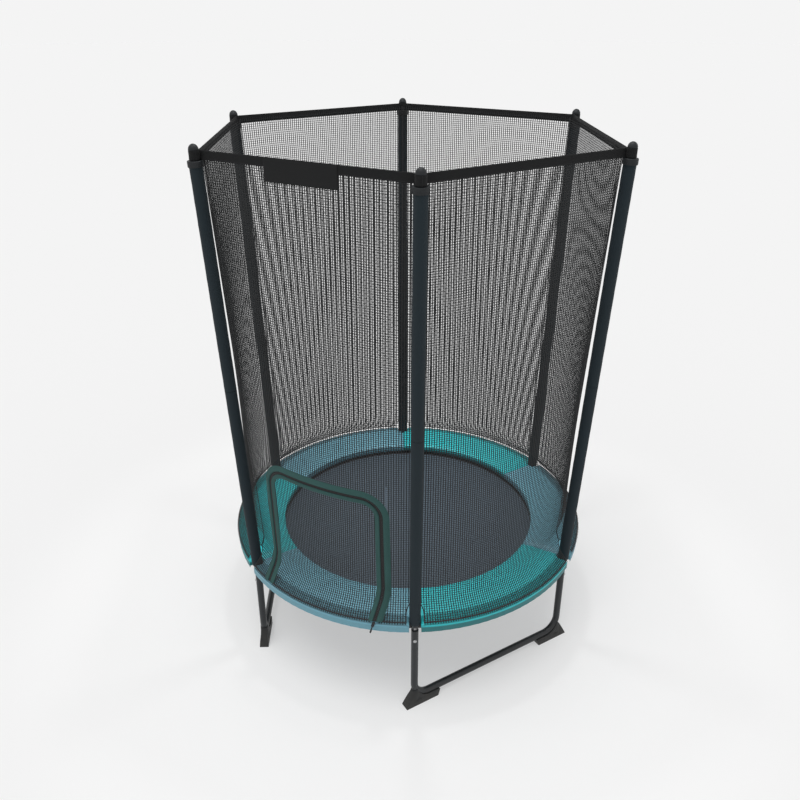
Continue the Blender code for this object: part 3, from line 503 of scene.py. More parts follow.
def cloth_finish(name, colour, yarns, depth, roughness, drift=0.25, slant=0.0, sheen=0.0, rows=(),
                 thread=None,
                 skirt_painted_shade=1.0, shine=0.5):
    """Woven cloth, webbing or tape, with rows of stitches at the given distances across it, and painted shade
    from the weave and, where asked, below the pads' top edge.
    """
    material, tree, shader, place, lengths = start_finish(name, roughness)
    weave = grouped(tree, weave_group, {"Lengths": lengths, "Yarns per metre": yarns, "Slant": slant})
    tone = grouped(tree, tone_group, {"Place": place, "Colour": (*colour, 1.0), "Size": 5.0, "Drift": drift})
    # Painted shade: the weave's Shade darkens the colour between crossing yarns and lightens the yarn tops.
    shown = node(tree, "ShaderNodeVectorMath", {0: tone["Colour"], "Scale": weave["Shade"]},
                 operation="SCALE").outputs[0]
    # Painted shade: below the pads' top edge the colour is scaled down by the given factor, for the shade on
    # the skirt.
    if skirt_painted_shade < 1.0:
        shown = grouped(tree, painted_skirt_shade_group, {"Place": place, "Colour": shown, "Edge": PAINTED_SHADE_EDGE,
                                            "Blend": PAINTED_SHADE_BLEND,
                                            "Shade": skirt_painted_shade})["Colour"]
    height = maths(tree, "MULTIPLY", weave["Height"], depth)
    for row in rows:
        stitch = grouped(tree, stitch_group, {"Lengths": lengths, "Row": row, "Stitch": STITCH_LENGTH,
                                              "Thread": THREAD_WIDTH})
        shown = node(tree, "ShaderNodeMix", {0: stitch["Mask"], 6: shown, 7: (*(thread or colour), 1.0)},
                     data_type="RGBA").outputs[2]
        height = maths(tree, "MULTIPLY_ADD", stitch["Height"], 0.0008, height)
    tree.links.new(shown, shader.inputs["Base Color"])
    roughness_from(tree, shader, tone["Mask"], roughness - 0.08, roughness + 0.08)
    set_relief(tree, shader, height, 1.0)
    shader.inputs["Specular IOR Level"].default_value = shine
    shader.inputs["Sheen Weight"].default_value = sheen
    shader.inputs["Sheen Roughness"].default_value = 0.4
    return material


powder_coat = hard_finish("Black powder coat", (0.013, 0.016, 0.019), 0.30, 0.46, 900.0, 0.0003, dust=0.12,
                          coat=0.10,
                          shine=0.35)
moulded_black = hard_finish("Black moulded plastic", (0.011, 0.013, 0.015), 0.42, 0.62, 1400.0, 0.0003,
                            dust=0.18, shine=0.30)
spring_zinc = hard_finish("Zinc plated wire", (0.52, 0.53, 0.55), 0.24, 0.42, 500.0, 0.0001, metallic=1.0)
screw_zinc = hard_finish("Zinc plated screws", (0.45, 0.45, 0.46), 0.26, 0.44, 700.0, 0.0001, metallic=1.0)
slider_black = hard_finish("Black coated slider", (0.030, 0.030, 0.032), 0.24, 0.40, 900.0, 0.0001,
                           metallic=0.6)
foam_skin = cloth_finish("Black foam sleeve skin", (0.010, 0.019, 0.025), 420.0, 0.0003, 0.86, sheen=0.04,
                         shine=0.35)
yarn_black = cloth_finish("Black net yarn", (0.019, 0.020, 0.021), 900.0, 0.0002, 0.80, slant=1.0, shine=0.35)
webbing_black = cloth_finish("Black webbing", (0.009, 0.0095, 0.010), 620.0, 0.0004, 0.82, slant=1.0,
                             sheen=0.03, shine=0.22,
                             rows=(0.004, 0.0335), thread=(0.030, 0.030, 0.032))
label_black = cloth_finish("Black label cloth", (0.008, 0.0085, 0.009), 900.0, 0.0002, 0.70, sheen=0.03,
                           shine=0.22,
                           rows=(0.004, 0.084), thread=(0.028, 0.028, 0.030))
mat_weave = cloth_finish("Charcoal mat weave", (0.066, 0.094, 0.122), 420.0, 0.0004, 0.62, drift=0.18)
hem_black = cloth_finish("Black hem webbing", (0.016, 0.016, 0.018), 700.0, 0.0004, 0.80, slant=1.0,
                         rows=(0.006, 0.020, 0.034), thread=(0.10, 0.10, 0.11))
# The covers' skirts below the top edge carry painted shade: teal at 0.28 and slate at 0.80 of the cover
# colour.
cover_teal = cloth_finish("Teal cover cloth", (0.024, 0.560, 0.600), 1100.0, 0.00012, 0.50, drift=0.10,
                          sheen=0.04,
                          skirt_painted_shade=0.28)
cover_slate = cloth_finish("Slate cover cloth", (0.160, 0.400, 0.500), 1100.0, 0.00012, 0.50, drift=0.10,
                           sheen=0.04,
                           skirt_painted_shade=0.80)
piping_teal = cloth_finish("Teal piping", (0.026, 0.36, 0.39), 1400.0, 0.0002, 0.60, slant=1.0)
piping_slate = cloth_finish("Slate piping", (0.12, 0.27, 0.34), 1400.0, 0.0002, 0.60, slant=1.0)
tape_teal = cloth_finish("Teal door tape", (0.036, 0.094, 0.088), 900.0, 0.0003, 0.80, slant=1.0,
                         sheen=0.03, shine=0.2,
                         rows=(0.004, 0.024), thread=(0.020, 0.070, 0.066))
zip_tape = cloth_finish("Black zip tape", (0.012, 0.012, 0.013), 1300.0, 0.0002, 0.78, slant=1.0)
zip_teeth = hard_finish("Black zip teeth", (0.016, 0.016, 0.017), 0.30, 0.45, 900.0, 0.0001)


# ================================================================ steel frame
def weld(work, path, radius, finish=0):
    """A bead of weld with its ripples."""
    line = []
    radii = []
    length = running(path)
    count = max(6, int(length[-1] / 0.0016))
    for index in range(count + 1):
        target = length[-1] * index / count
        leg = max(spot for spot in range(len(path) - 1) if length[spot] <= target + 1e-9)
        share = (target - length[leg]) / (length[leg + 1] - length[leg])
        line.append(path[leg].lerp(path[leg + 1], min(share, 1.0)))
        radii.append(radius * (1.0 + 0.14 * math.cos(math.pi * index)) * (0.6 if index in (0,
                                                                                           count) else 1.0))
    rod(work, line, radii, 8, finish)


def screw(work, seat, out, across, radius=0.0055, finish=0):
    """A pan head with a shallow round recess on a washer."""
    turned(work, [(0.0, radius * 1.45), (0.0011, radius * 1.45), (0.0012, radius * 1.38), (0.0012, radius)],
           seat, out, across, 24, finish)
    turned(work, [(0.001, radius), (0.0028, radius * 0.98), (0.0040, radius * 0.80), (0.0045, radius * 0.42),
                  (0.0046, radius * 0.20), (0.0034, radius * 0.16), (0.0034, 0.0)], seat, out, across, 24,
                  finish)


def rim_spot(angle, radius_turn, radius):
    """A place on the rim's tube: the angle round the trampoline, then round the tube."""
    outward = polar(1.0, angle, 0.0)
    centre = outward * RIM_CIRCLE + UP * RIM_HEIGHT
    return centre + outward * (radius * math.cos(radius_turn)) + UP * (radius * math.sin(radius_turn))


def make_rim():
    """A sixth of the rim with its swaged end, spring slots, socket, weld and screws."""
    work = Piecework()
    mouth = -HALF_STEP + RIM_PLUG_ANGLE
    shoulder = HALF_STEP - CLEARANCE / RIM_CIRCLE

    def ring(angle, radius):
        return [rim_spot(angle, 2.0 * math.pi * index / 28, radius) for index in range(28)]

    rings = [ring(mouth, RIM_BORE), ring(-HALF_STEP, RIM_BORE), ring(-HALF_STEP, RIM_TUBE_RADIUS - 0.0004)]
    rings += [ring(-HALF_STEP + 0.0006, RIM_TUBE_RADIUS)]
    rings += [ring(angle, RIM_TUBE_RADIUS) for angle in steps(-HALF_STEP + 0.01, shoulder - 0.008, 36)]
    rings += [ring(shoulder - 0.0008, RIM_TUBE_RADIUS), ring(shoulder, RIM_TUBE_RADIUS - 0.0005)]
    rings += [ring(shoulder, RIM_BORE - CLEARANCE), ring(shoulder + RIM_PLUG_ANGLE, RIM_BORE - CLEARANCE)]
    work.loft(rings)
    across = Vector((1.0, 0.0, 0.0))
    foot = Vector((LEG_CIRCLE, 0.0, SOCKET_BOTTOM))
    height = SOCKET_TOP - SOCKET_BOTTOM
    lip = 0.0005
    profile = [(lip, SOCKET_RADIUS), (height - lip, SOCKET_RADIUS), (height, SOCKET_RADIUS - lip),
               (height, SOCKET_BORE), (0.0, SOCKET_BORE), (0.0, SOCKET_RADIUS - lip)]
    turned(work, profile, foot, UP, across, 36, closed=True)
    for side in (-1.0, 1.0):
        path = [Vector((LEG_CIRCLE - SOCKET_RADIUS + 0.0028, side * 0.0088, height_now))
                for height_now in (0.4425, 0.452, 0.4588)]
        weld(work, path, 0.0026)
    weld(work, [Vector((LEG_CIRCLE - SOCKET_RADIUS + 0.001, y, 0.4405)) for y in (-0.0088, 0.0, 0.0088)],
         0.0024)
    screw(work, Vector((LEG_CIRCLE + SOCKET_RADIUS, 0.0, SOCKET_BOLT_HEIGHT)), across,
          Vector((0.0, 1.0, 0.0)), finish=1)
    for index in range(SPRING_COUNT // STATIONS):
        angle = -HALF_STEP + STEP * (index + 0.5) / (SPRING_COUNT // STATIONS)
        outward = polar(1.0, angle, 0.0)
        sideways = Vector((-math.sin(angle), math.cos(angle), 0.0))
        centre = outward * (RIM_CIRCLE - RIM_TUBE_RADIUS) + UP * RIM_HEIGHT
        slot = [centre + sideways * (0.0062 * math.cos(turn)) + UP * (0.0034 * math.sin(turn))
                for turn in steps(0.0, 2.0 * math.pi, 12)[:-1]]
        rod(work, slot, 0.0006, 6, closed=True)
    return mesh_of(work, "rim", [powder_coat, screw_zinc])


def leg_line():
    """Half the leg's width, and the points of one of its bends as (x, z, turn)."""
    half = LEG_CIRCLE * math.sin(HALF_STEP)
    bend_height = BASE_TUBE_HEIGHT + LEG_BEND
    bend = [(-half + LEG_BEND * (1.0 - math.cos(turn)), bend_height - LEG_BEND * math.sin(turn), turn)
            for turn in steps(0.0, math.pi / 2.0, 14)]
    return half, bend


def leg_ring(x, z, turn, radius, sides):
    outward = Vector((-math.cos(turn), 0.0, -math.sin(turn)))
    return circle(Vector((x, 0.0, z)), Vector((0.0, 1.0, 0.0)), outward, radius, sides)


def make_leg():
    """A U leg of bent tube with a swaged end for each socket."""
    work = Piecework()
    half, bend = leg_line()

    def ring(x, z, turn, radius):
        return leg_ring(x, z, turn, radius, 28)

    shoulder = SOCKET_BOTTOM - CLEARANCE
    top = shoulder + SWAGE_LENGTH
    rings = [ring(-half, bend[0][1] + 0.02, 0.0, SWAGE_BORE), ring(-half, top, 0.0, SWAGE_BORE)]
    rings += [ring(-half, top, 0.0, SWAGE_RADIUS), ring(-half, shoulder, 0.0, SWAGE_RADIUS)]
    rings += [ring(-half, shoulder, 0.0, LEG_TUBE_RADIUS - 0.0006),
              ring(-half, shoulder - 0.0006, 0.0, LEG_TUBE_RADIUS)]
    rings += [ring(-half, height, 0.0, LEG_TUBE_RADIUS) for height in steps(shoulder - 0.02,
                                                                            bend[0][1] + 0.02, 5)]
    rings += [ring(x, z, turn, LEG_TUBE_RADIUS) for x, z, turn in bend]
    rings += [ring(x, BASE_TUBE_HEIGHT, math.pi / 2.0,
                   LEG_TUBE_RADIUS) for x in steps(-half + LEG_BEND + 0.04, -0.02, 5)]
    other = [[Vector((-point.x, point.y, point.z)) for point in row] for row in reversed(rings)]
    work.loft(rings + other)
    return mesh_of(work, "leg", [powder_coat])


def make_foot():
    """A moulded shoe that cradles the bend of the leg. Its +X runs inward along the base tube."""
    half, bend = leg_line()
    centre = (LEG_BEND, BASE_TUBE_HEIGHT + LEG_BEND)
    lip = [(centre[0] - (LEG_BEND - FOOT_LIP_RISE) * math.cos(turn),
            centre[1] - (LEG_BEND + FOOT_LIP_DROP) * math.sin(turn))
           for turn in steps(math.asin(0.0256 / (LEG_BEND + FOOT_LIP_DROP)), math.pi / 2.0, 11)]
    heel = FOOT_HEEL + FOOT_HEEL_LEAN
    ridge = [(-FOOT_TOE, 0.0040, FOOT_HALF_WIDTH), (-FOOT_TOE + 0.0008, 0.0060, FOOT_HALF_WIDTH - 0.0003)]
    ridge += [(between(-FOOT_TOE, -0.0123, share), between(0.006, 0.0815, share),
               between(FOOT_HALF_WIDTH, 0.0128, share ** 1.4))
              for share in (0.3, 0.6, 0.85, 1.0)]
    ridge += [(-0.0060, 0.0890, 0.0160), (0.0010, 0.0970, 0.0178)]
    ridge += [(x, z, between(0.0185, FOOT_HALF_WIDTH - 0.0008, min(1.0, (x - lip[0][0]) / 0.05))) for x,
              z in lip]
    ridge += [(0.1060, lip[-1][1], FOOT_HALF_WIDTH - 0.0008),
              (heel - 0.0025, lip[-1][1], FOOT_HALF_WIDTH - 0.0010)]
    ridge += [(heel, FOOT_HEEL_HEIGHT + 0.006, FOOT_HALF_WIDTH - 0.0015)]
    body = Piecework()
    rings = []
    for x, z, top in ridge:
        under = min(x, FOOT_HEEL)
        low = FOOT_HALF_WIDTH
        rings.append([Vector((under, -low, 0.0)), Vector((under, low, 0.0)), Vector((x, top, z)),
                      Vector((x, -top, z))])
    body.loft(rings)
    groove = Piecework()
    wide = LEG_TUBE_RADIUS + CLEARANCE

    def ring(x, z, turn):
        return leg_ring(x + half, z, turn, wide, 32)

    rings = [ring(-half, 0.20, 0.0)] + [ring(x, z, turn) for x, z, turn in bend]
    groove.loft(rings + [ring(-half + 0.2, BASE_TUBE_HEIGHT, math.pi / 2.0)])
    pockets = Piecework()
    corners = [(-0.027, 0.026), (0.032, 0.034), (-0.001, 0.065)]
    for side in (-1.0, 1.0):
        near, far = side * (FOOT_HALF_WIDTH - 0.0022), side * (FOOT_HALF_WIDTH + 0.002)
        pockets.loft([[Vector((x, y, z)) for x, z in corners] for y in (near, far)])
    hollow = Piecework()
    ribs = [(-0.047, -0.022), (-0.017, 0.010), (0.015, 0.050), (0.055, 0.086), (0.091, 0.118)]
    for low, high in ribs:
        hollow.loft([[Vector((x, y, z)) for x, y in ((low, -0.017), (high, -0.017), (high, 0.017),
                                                     (low, 0.017))]
                     for z in (-0.004, 0.004)])
    shoe = place_in_scene("shoe", mesh_of(body, "shoe", [moulded_black]))
    spent = [shoe]
    for label, tool in (("groove", groove), ("pockets", pockets), ("hollow", hollow)):
        cutter = place_in_scene(label, mesh_of(tool, label, [moulded_black]))
        cut = shoe.modifiers.new(label, "BOOLEAN")
        cut.operation = "DIFFERENCE"
        cut.solver = "EXACT"
        cut.object = cutter
        spent.append(cutter)
    soften = shoe.modifiers.new("soften", "BEVEL")
    soften.width = 0.0011
    soften.segments = 2
    soften.limit_method = "ANGLE"
    soften.angle_limit = math.radians(35.0)
    bpy.context.view_layer.update()
    result = bpy.data.meshes.new_from_object(shoe.evaluated_get(bpy.context.evaluated_depsgraph_get()))
    for item in spent:
        bpy.data.objects.remove(item, do_unlink=True)
    result.shade_smooth()
    result.set_sharp_from_angle(angle=math.radians(32.0))
    return result


def lay_frame():
    rim = make_rim()
    leg = make_leg()
    shoe = make_foot()
    for station in range(STATIONS):
        put(f"rim_tube_{station + 1}", rim, "frame", [f"rim_segment_{station + 1}"],
            station_angle(station))
    middle_distance = LEG_CIRCLE * math.cos(HALF_STEP)
    half_chord = LEG_CIRCLE * math.sin(HALF_STEP)
    for pair in range(STATIONS // 2):
        side = side_angle(2 * pair)
        middle = polar(1.0, side, 0.0) * middle_distance
        put(f"leg_tube_{pair + 1}", leg, "frame", [f"leg_{pair + 1}"], side + math.pi / 2.0,
            middle)
        for end in (0, 1):
            turn = side + math.pi / 2.0 + math.pi * end
            inward = polar(1.0, turn, 0.0)
            number = 2 * pair + end + 1
            put(f"foot_shoe_{number}", shoe, "frame", [f"foot_{number}"], turn,
                middle - inward * half_chord)


# ================================================================ net poles, foam and caps
def pole_spot(height):
    reach = (height - POLE_BEND_HEIGHT) * math.tan(POLE_LEAN)
    return Vector((LEG_CIRCLE + max(reach, 0.0), 0.0, height))


def pole_ring(height, radius, sides=32, lean=POLE_LEAN):
    across = Vector((math.cos(lean), 0.0, -math.sin(lean)))
    return circle(pole_spot(height), across, Vector((0.0, 1.0, 0.0)), radius, sides)


def make_lower_pole():
    work = Piecework()
    seam = POLE_JOINT_HEIGHT
    spigot = POLE_BORE - CLEARANCE
    rings = [pole_ring(POLE_BOTTOM, POLE_RADIUS, lean=0.0), pole_ring(0.460, POLE_RADIUS, lean=0.0)]
    rings += [pole_ring(height, POLE_RADIUS, lean=POLE_LEAN * share)
              for height, share in ((0.468, 0.2), (0.475, 0.5), (0.482, 0.8), (0.490, 1.0))]
    rings += [pole_ring(height, POLE_RADIUS) for height in steps(0.60, seam - 0.001, 4)]
    rings += [pole_ring(seam, POLE_RADIUS - 0.0004), pole_ring(seam, spigot), pole_ring(seam + 0.055, spigot)]
    rings += [pole_ring(seam + POLE_SPIGOT_LENGTH, spigot - 0.0008),
              pole_ring(seam + POLE_SPIGOT_LENGTH, spigot - 0.0014)]
    rings += [pole_ring(seam - 0.010, spigot - 0.0014), pole_ring(seam - 0.014, POLE_BORE)]
    rings += [pole_ring(POLE_BEND_HEIGHT, POLE_BORE, lean=POLE_LEAN / 2.0),
              pole_ring(POLE_BOTTOM, POLE_BORE, lean=0.0)]
    work.loft(rings, closed=True)
    screw(work, Vector((LEG_CIRCLE + POLE_RADIUS - CLEARANCE, 0.0, POLE_SCREW_HEIGHT)),
          Vector((1.0, 0.0, 0.0)),
          Vector((0.0, 1.0, 0.0)), 0.0036, 1)
    return mesh_of(work, "pole_lower", [powder_coat, screw_zinc])


def make_upper_pole():
    work = Piecework()
    seam = POLE_JOINT_HEIGHT + CLEARANCE
    rings = [pole_ring(height, POLE_RADIUS) for height in steps(seam, POLE_TOP, 4)]
    work.loft(rings + [pole_ring(POLE_TOP, POLE_BORE), pole_ring(seam, POLE_BORE)], closed=True)
    return mesh_of(work, "pole_upper", [powder_coat])


def make_sleeve(bottom, top, bottom_round, bottom_rise, top_round):
    """A foam sleeve with a tight skin: rounded ends, a long sewn seam and faint dimples."""
    work = Piecework()
    sides = 40
    bore = POLE_RADIUS + CLEARANCE
    heights = steps(bottom + bottom_rise, top - top_round, max(8, int((top - bottom) / 0.022)))
    rings = []

    def skin(height, radius, settled):
        ring = []
        for index, spot in enumerate(pole_ring(height, 1.0, sides)):
            turn = 2.0 * math.pi * index / sides
            outward = spot - pole_spot(height)
            ripple = (0.00022 * math.sin(height * 61.0 + 2.0 * turn)
                      + 0.00016 * math.sin(height * 143.0 - 3.0 * turn))
            seam = -0.0010 * math.exp(-((turn - math.pi) / 0.09) ** 2)
            ring.append(pole_spot(height) + outward * (radius + (ripple - 0.0003 + seam) * settled))
        return ring

    for share in steps(0.0, 1.0, 6)[:-1]:
        turn = share * math.pi / 2.0
        height = bottom + bottom_rise * (1.0 - math.cos(turn))
        rings.append(skin(height, SLEEVE_RADIUS - bottom_round * (1.0 - math.sin(turn)), share))
    rings += [skin(height, SLEEVE_RADIUS, 1.0) for height in heights]
    for share in steps(0.0, 1.0, 5)[1:]:
        turn = share * math.pi / 2.0
        height = top - top_round * (1.0 - math.sin(turn))
        rings.append(skin(height, SLEEVE_RADIUS - top_round * (1.0 - math.cos(turn)), 1.0 - share))
    rings += [pole_ring(top, bore, sides), pole_ring(bottom, bore, sides)]
    work.loft(rings, closed=True)
    return mesh_of(work, "sleeve", [foam_skin])


def make_cap():
    """A moulded cap: collar over the foam, neck for the band's loop and a round head."""
    work = Piecework()
    collar_top = CAP_BOTTOM + CAP_COLLAR_HEIGHT
    dome = BAND_TOP + 0.0015
    bevel = 0.003
    bore = POLE_RADIUS + CLEARANCE
    profile = [(POLE_TOP + CLEARANCE, 0.0002), (POLE_TOP + CLEARANCE, bore), (CAP_BOTTOM, bore)]
    profile += [(CAP_BOTTOM, CAP_COLLAR_RADIUS - 0.001), (CAP_BOTTOM + 0.001, CAP_COLLAR_RADIUS)]
    profile += [(CAP_BOTTOM + 0.006, CAP_COLLAR_RADIUS), (CAP_BOTTOM + 0.0066, CAP_COLLAR_RADIUS - 0.0006)]
    profile += [(CAP_BOTTOM + 0.0076, CAP_COLLAR_RADIUS - 0.0006), (CAP_BOTTOM + 0.0082, CAP_COLLAR_RADIUS)]
    profile += [(collar_top - bevel + bevel * math.sin(turn),
                 CAP_COLLAR_RADIUS - bevel * (1.0 - math.cos(turn)))
                for turn in steps(0.0, math.pi / 2.0, 4)]
    profile += [(collar_top, CAP_NECK_RADIUS + 0.001), (collar_top + 0.001, CAP_NECK_RADIUS)]
    profile += [(dome - 0.0006, CAP_NECK_RADIUS), (dome, CAP_NECK_RADIUS + 0.0006)]
    head = [(dome + CAP_DOME_HEIGHT * math.sin(turn), CAP_DOME_RADIUS * math.cos(turn))
            for turn in steps(0.0, math.pi / 2.0, 10)]
    profile += [(dome, CAP_DOME_RADIUS - 0.0008), (dome + 0.001, CAP_DOME_RADIUS)] + head[1:-1]
    profile += [(dome + CAP_DOME_HEIGHT, 0.0002)]
    rings = [pole_ring(height, radius, 40) for height, radius in profile]
    work.loft(rings)
    return mesh_of(work, "cap", [moulded_black])


def raise_poles():
    lower = make_lower_pole()
    upper = make_upper_pole()
    seam = POLE_JOINT_HEIGHT
    low_foam = make_sleeve(SLEEVE_BOTTOM, seam - 0.0004, 0.0125, 0.022, 0.0022)
    high_foam = make_sleeve(seam + 0.0004, CAP_BOTTOM - CLEARANCE, 0.0022, 0.0022, 0.001)
    cap = make_cap()
    for station in range(STATIONS):
        number = station + 1
        angle = station_angle(station)
        put(f"pole_lower_tube_{number}", lower, "frame", [f"pole_lower_{number}"], angle)
        put(f"pole_upper_tube_{number}", upper, "frame", [f"pole_upper_{number}"], angle)
        foam = put(f"foam_lower_{number}", low_foam, "frame", [f"sleeve_lower_{number}"], angle)
        foam = put(f"foam_upper_{number}", high_foam, "frame", [f"sleeve_upper_{number}"],
                   angle)
        put(f"cap_{number}", cap, "frame", [f"pole_cap_{number}"], angle)


lay_frame()
raise_poles()


# ================================================================ padded covers
def pad_end(radius):
    """How far a pad stops short of the line to the pole, where its slot passes the foam."""
    if radius <= SLOT_CIRCLE - SLOT_RADIUS:
        return PAD_SEAM
    if radius < SLOT_CIRCLE:
        return max(PAD_SEAM, math.sqrt(SLOT_RADIUS ** 2 - (SLOT_CIRCLE - radius) ** 2))
    return SLOT_RADIUS


def pad_reach(radius):
    """The angle from a pad's middle to its end, at a radius."""
    return HALF_STEP - math.asin(pad_end(radius) / radius)


def pad_roll(share):
    """How far a place is from the pad's end, as an angle, and how far the end's roll drops it."""
    from_end = (1.0 - abs(share)) * HALF_STEP * PAD_LENGTH_SHARE
    return from_end, PAD_ROLL_DROP * math.exp(-(from_end / PAD_ROLL_WIDTH) ** 1.3)


def pad_section():
    """The loop of a pad's section as (radius, height, rise): over the top, down the skirt and back."""
    inner = [(PAD_INNER + 0.008, PAD_BOTTOM + 0.0002), (PAD_INNER + 0.002, PAD_BOTTOM + 0.003)]
    inner += [(PAD_INNER, height) for height in (0.4893, 0.498, 0.5065)]
    inner += [(PAD_INNER + 0.0008, 0.5125), (PAD_INNER + 0.0030, 0.5160)]
    radii = steps(PAD_INNER + 0.008, 0.836, 17) + [0.8405, 0.8432, 0.8449, 0.8456, 0.8470, 0.8495, 0.8530,
                                                   0.8580, 0.8650]
    radii += [0.8730, 0.8810, 0.8890, 0.8965]
    top = []
    for radius in radii:
        share = (radius - PAD_INNER) / (PAD_OUTER - PAD_INNER)
        top.append((radius, PAD_TOP - 0.0022 * abs(2.0 * share - 1.0) ** 3))
    outer = [(0.9025, 0.5160), (0.9065, 0.5135), (0.9088, 0.5095), (0.9098, 0.5040), (PAD_OUTER, 0.4970)]
    outer += [(PAD_OUTER, height) for height in (0.489, 0.482, 0.476, SKIRT_BOTTOM + 0.0006)]
    return [(*spot, 0.0) for spot in inner] + [(*spot, 1.0) for spot in top] + [(*spot,
                                                                                 0.0) for spot in outer]


def pad_underside(section):
    """The lower loop point that faces each point of the section, for the pad's closed ends."""
    lining = PAD_OUTER - SKIRT_THICKNESS
    under = []
    for index, (radius, height, rise) in enumerate(section):
        if rise or index < 7:
            under.append((radius + 0.010 * (1.0 - min(index, 7) / 7.0), PAD_BOTTOM))
        elif height > PAD_BOTTOM + 0.004:
            under.append((lining - 0.0004 * (len(section) - 1 - index), PAD_BOTTOM))
        else:
            under.append((lining, min(height, PAD_BOTTOM)))
    return under


def pad_columns():
    """Shares of the way along a pad, closer together at its ends."""
    half_length = HALF_STEP * PAD_LENGTH_SHARE
    near = [distance / half_length for distance in (0.0, 0.0012, 0.0030, 0.0060, 0.0105, 0.0165)]
    right = [1.0 - share for share in near] + steps(1.0 - 0.024 / half_length, 0.0, 47)
    return [-share for share in right[:-1]] + right[::-1]


def make_pad():
    """A padded cover: crowned top, rolled ends, skirt, and the points that the filling may lift."""
    section = pad_section()
    under = pad_underside(section)
    work = Piecework()
    rings = []
    free = []
    for share in pad_columns():
        ring = []
        from_end, roll = pad_roll(share)
        for radius, height, rise in section:
            angle = share * pad_reach(radius)
            wave = 0.0012 * math.sin(share * 31.0) * max(0.0, (0.50 - height) / 0.03) if not rise else 0.0
            drop = roll * max(0.0, min(1.0, (height - 0.492) / 0.012))
            ring.append(polar(radius - abs(wave), angle, height - drop))
            free.append(min(1.0, rise * min(1.0, from_end / 0.010)))
        for radius, height in reversed(under):
            angle = share * pad_reach(radius)
            ring.append(polar(radius, angle, height))
            free.append(0.0)
        rings.append(ring)
    count = len(section)
    work.loft(rings, ends=False)
    for row in (0, len(rings) - 1):
        base = row * 2 * count
        for index in range(count - 1):
            corners = (base + index, base + index + 1, base + 2 * count - 2 - index,
                       base + 2 * count - 1 - index)
            work.face(corners, [tuple(work.points[corner].yz) for corner in corners], 0)
    return mesh_of(work, "pad", [cover_teal]), free


def fill_pad(mesh, free):
    """Blows the cover up against its seams, so that it crowns and puckers as filled cloth does."""
    pad = place_in_scene("filling", mesh)
    rest = [point.co.copy() for point in mesh.vertices]
    held = pad.vertex_groups.new(name="seams")
    for index, share in enumerate(free):
        held.add([index], 1.0 - share, "REPLACE")
    cloth = pad.modifiers.new("filling", "CLOTH")
    cloth.settings.quality = 6
    cloth.settings.mass = 0.25
    cloth.settings.tension_stiffness = 12.0
    cloth.settings.compression_stiffness = 12.0
    cloth.settings.shear_stiffness = 5.0
    cloth.settings.bending_stiffness = 0.35
    cloth.settings.vertex_group_mass = "seams"
    cloth.settings.shrink_min = -0.035
    cloth.settings.use_pressure = True
    cloth.settings.uniform_pressure_force = 3.2
    cloth.settings.effector_weights.gravity = 0.0
    cloth.collision_settings.use_collision = False
    cloth.collision_settings.use_self_collision = False
    for number in range(1, FILL_FRAMES + 1):
        bpy.context.scene.frame_set(number)
    evaluated = pad.evaluated_get(bpy.context.evaluated_depsgraph_get())
    moved = [point.co.copy() for point in evaluated.data.vertices]
    bpy.context.scene.frame_set(1)
    bpy.data.objects.remove(pad, do_unlink=True)
    for point, before, after, share in zip(mesh.vertices, rest, moved, free):
        move = after - before
        move.z = max(-FILL_SINK, min(FILL_RISE, move.z))
        flat = Vector((move.x, move.y, 0.0))
        if flat.length > FILL_SIDEWAYS:
            flat *= FILL_SIDEWAYS / flat.length
        point.co = before + Vector((flat.x, flat.y, move.z)) * min(1.0, share * 2.0)
    mesh.update()


def make_piping():
    """Covered cord sewn into the inner and outer top edges of a pad."""
    work = Piecework()
    shares = [share for share in pad_columns() if abs(share) < 0.9999]
    for radius, height in ((PAD_INNER + 0.0006, 0.5130), (PAD_OUTER - 0.0012, 0.5105)):
        path = []
        for share in shares:
            angle = share * (pad_reach(radius) - 0.001 / radius)
            path.append(polar(radius, angle, height - pad_roll(share)[1]))
        rod(work, path, 0.0021, 8)
    return mesh_of(work, "piping", [piping_teal])


def lay_pads():
    pad, free = make_pad()
    fill_pad(pad, free)
    piping = make_piping()
    pad.shade_smooth()
    pad.set_sharp_from_angle(angle=math.radians(60.0))
    for side in range(STATIONS):
        teal = side % 2 == 0
        cover = put(f"pad_cover_{side + 1}", pad, "frame", [f"pad_{side + 1}"], side_angle(side))
        cover.data.materials[0] = cover_teal if teal else cover_slate
        edge = put(f"pad_piping_{side + 1}", piping, "frame", (), side_angle(side))
        edge.data.materials[0] = piping_teal if teal else piping_slate


# ================================================================ jumping mat and springs
def spring_angle(index):
    return FIRST_ANGLE + STEP / 12.0 + 2.0 * math.pi * index / SPRING_COUNT


